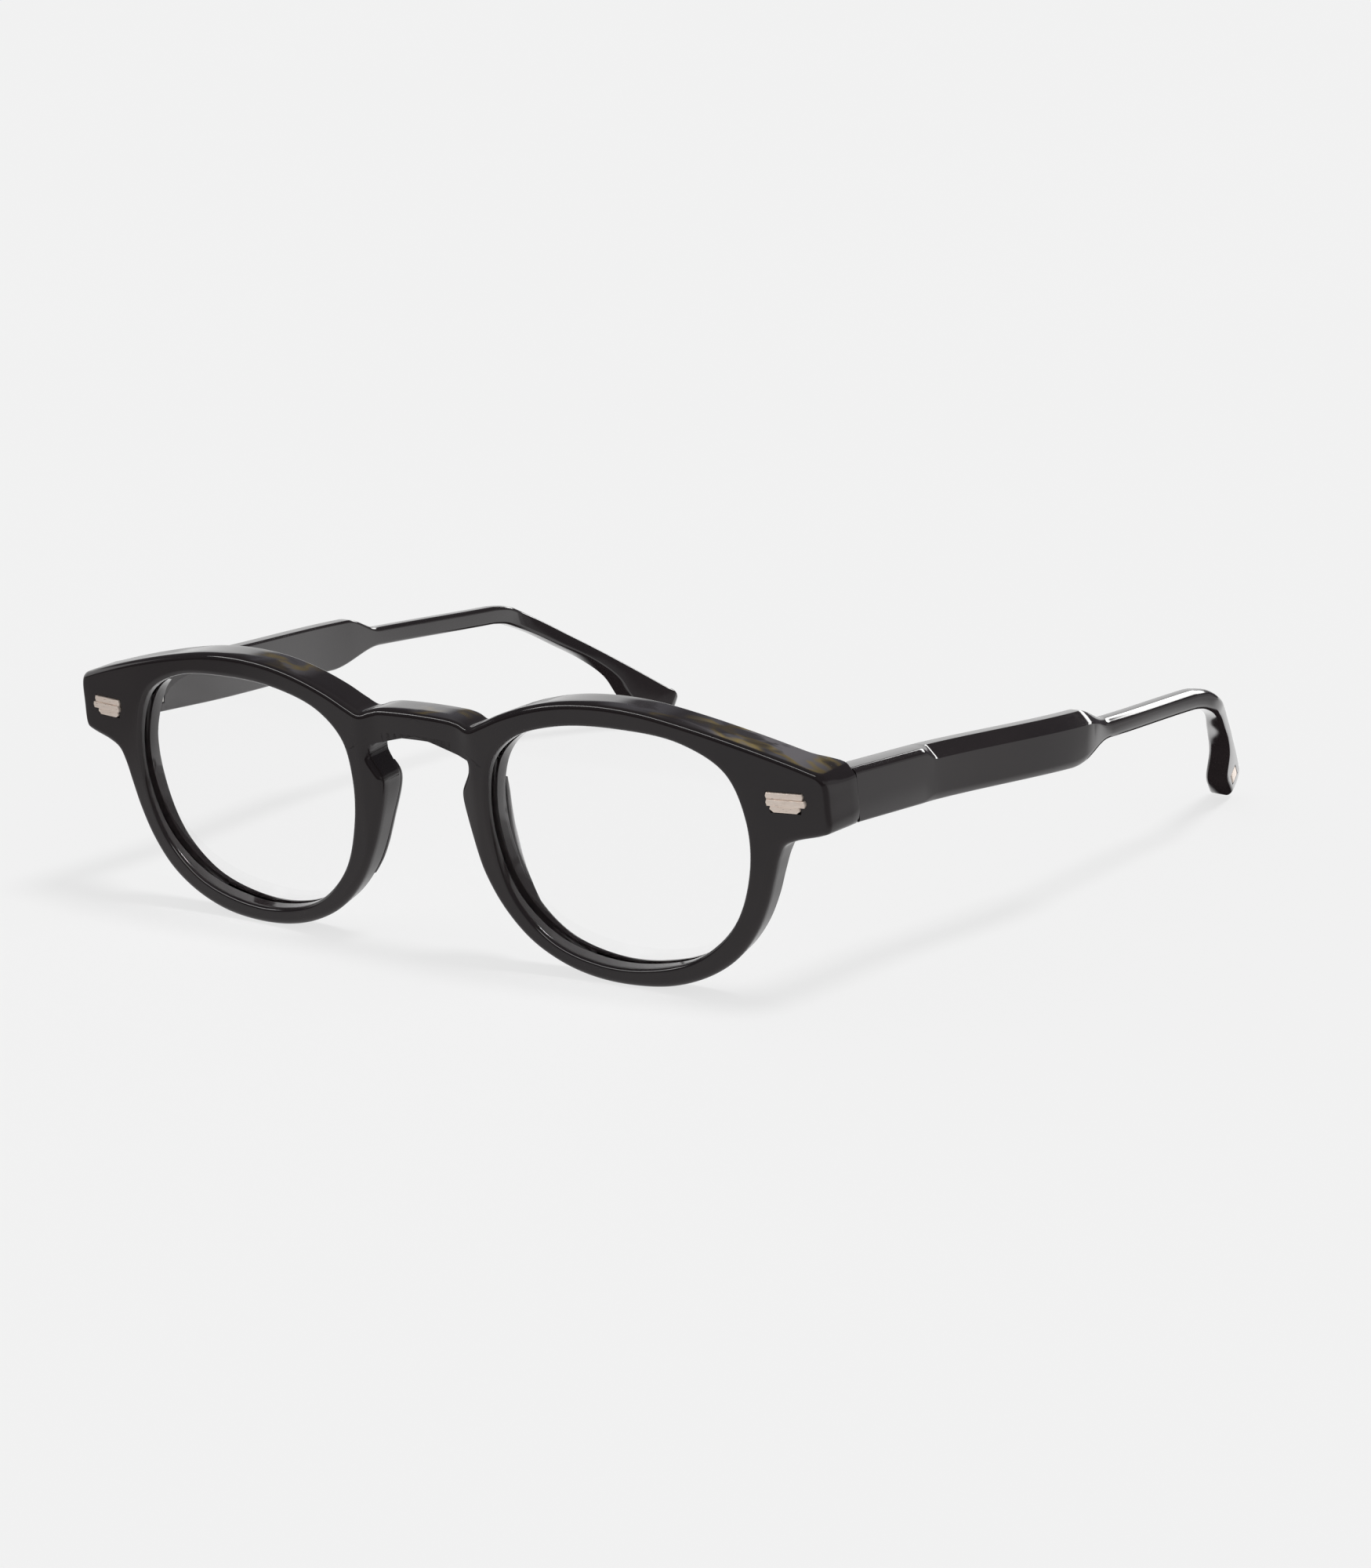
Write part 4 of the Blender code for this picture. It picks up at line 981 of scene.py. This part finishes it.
def make_camera(place):
    """Camera at the matched view of the glasses."""
    a, e, r = CAMERA_TURN, CAMERA_RISE, CAMERA_ROLL
    back = Vector((math.sin(a) * math.cos(e), -math.cos(a) * math.cos(e), math.sin(e)))
    right = Vector((math.cos(a), math.sin(a), 0))
    up = back.cross(right)
    across = right * math.cos(r) + up * math.sin(r)
    high = up * math.cos(r) - right * math.sin(r)
    spot = across * CAMERA_PLACE[0] + high * CAMERA_PLACE[1] + back * CAMERA_PLACE[2]
    origin = place.to_translation() / MM
    spot += origin + Vector((0, CAMERA_SETBACK, 0))
    data = bpy.data.cameras.new("camera")
    data.lens = CAMERA_LENS
    data.clip_start = 0.01
    camera = bpy.data.objects.new("camera", data)
    turn = Matrix((across, high, back)).transposed().to_4x4()
    camera.matrix_world = Matrix.Translation(spot * MM) @ turn
    bpy.context.scene.collection.objects.link(camera)
    bpy.context.scene.camera = camera


# ---------------------------------------------------------------- assembly

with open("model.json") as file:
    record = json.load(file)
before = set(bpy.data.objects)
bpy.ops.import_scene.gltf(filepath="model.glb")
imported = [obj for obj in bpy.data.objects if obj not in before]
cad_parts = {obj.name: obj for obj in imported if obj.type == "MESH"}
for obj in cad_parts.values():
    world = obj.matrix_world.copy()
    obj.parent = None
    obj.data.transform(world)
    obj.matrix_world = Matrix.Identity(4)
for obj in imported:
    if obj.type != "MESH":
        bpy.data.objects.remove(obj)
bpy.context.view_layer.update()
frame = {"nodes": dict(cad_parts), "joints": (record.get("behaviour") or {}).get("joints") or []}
bpy.context.scene.view_settings.view_transform = "Standard"

base = front_place()
front_look = acetate("front_acetate", True)
temple_look = acetate("temple_acetate", False)
gold = metal("rose_gold", (1.0, 0.87, 0.77), (0.90, 0.75, 0.65), 0.34, (0.04, 1, 1), 0.35)
hinge_metal = metal("hinge_metal", (0.62, 0.60, 0.57), (0.45, 0.44, 0.42), 0.28, (1, 1, 0.1))
screw_steel = metal("screw_steel", (0.72, 0.71, 0.69), (0.55, 0.54, 0.53), 0.22, (1, 1, 0.05))
wire_metal = metal("core_wire", (0.66, 0.65, 0.63), (0.5, 0.49, 0.47), 0.3, (1, 0.03, 1))
lens_look = clear_lens("demo_lens")


def settle(piece, body, node_name):
    """Let a fine piece ride on its body in the place of its CAD node."""
    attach(piece, body)
    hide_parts(node_name)


front = make_front(base, front_look)
cutters = []
for side in SIDES.values():
    place = side_place(base, side)
    seat = prism(plaque_outline(PLAQUE_SEAT), -PAST_SEAT, PLAQUE_POCKET)
    cutters.append(new_piece("seat", *seat, place, front_look))
    low, high = (HINGE_AXIS[2] + v for v in POCKET_V)
    pocket = box_points((POCKET_U[0], POCKET_FLOOR, low), (POCKET_U[1], JOINT_W + PAST_JOINT, high))
    cutters.append(new_piece("pocket", *pocket, place, front_look))
cut(front, cutters)
settle(front, "front", "front_frame")
for label, side in SIDES.items():
    place = side_place(base, side)
    lens = make_lens("clear_lens_" + label, place, lens_look)
    settle(lens, "front", "lens_" + label)
    pad = make_pad("pad_" + label, place, front_look)
    settle(pad, "front", "nose_pad_" + label)
    plaque = make_plaque("plaque_" + label, place, gold)
    settle(plaque, "front", "front_plaque_" + label)
    place = temple_place(base, side)
    body = "temple_" + label
    settle(make_temple("side_arm_" + label, place, temple_look), body, body)
    inlay = make_inlay("inlay_" + label, place, gold)
    settle(inlay, body, "tip_inlay_" + label)

LOOKS = {"front_hinge": hinge_metal, "temple_hinge": hinge_metal, "hinge_screw": screw_steel,
         "temple_rivet": screw_steel, "core_wire": wire_metal}
for name, thing in frame["nodes"].items():
    for start, look in LOOKS.items():
        if name.startswith(start):
            thing.data.materials.clear()
            thing.data.materials.append(look)

make_floor()
make_world()
make_sun("key", KEY_TURN, KEY_RISE, KEY_ENERGY, KEY_SPREAD)
make_camera(base)
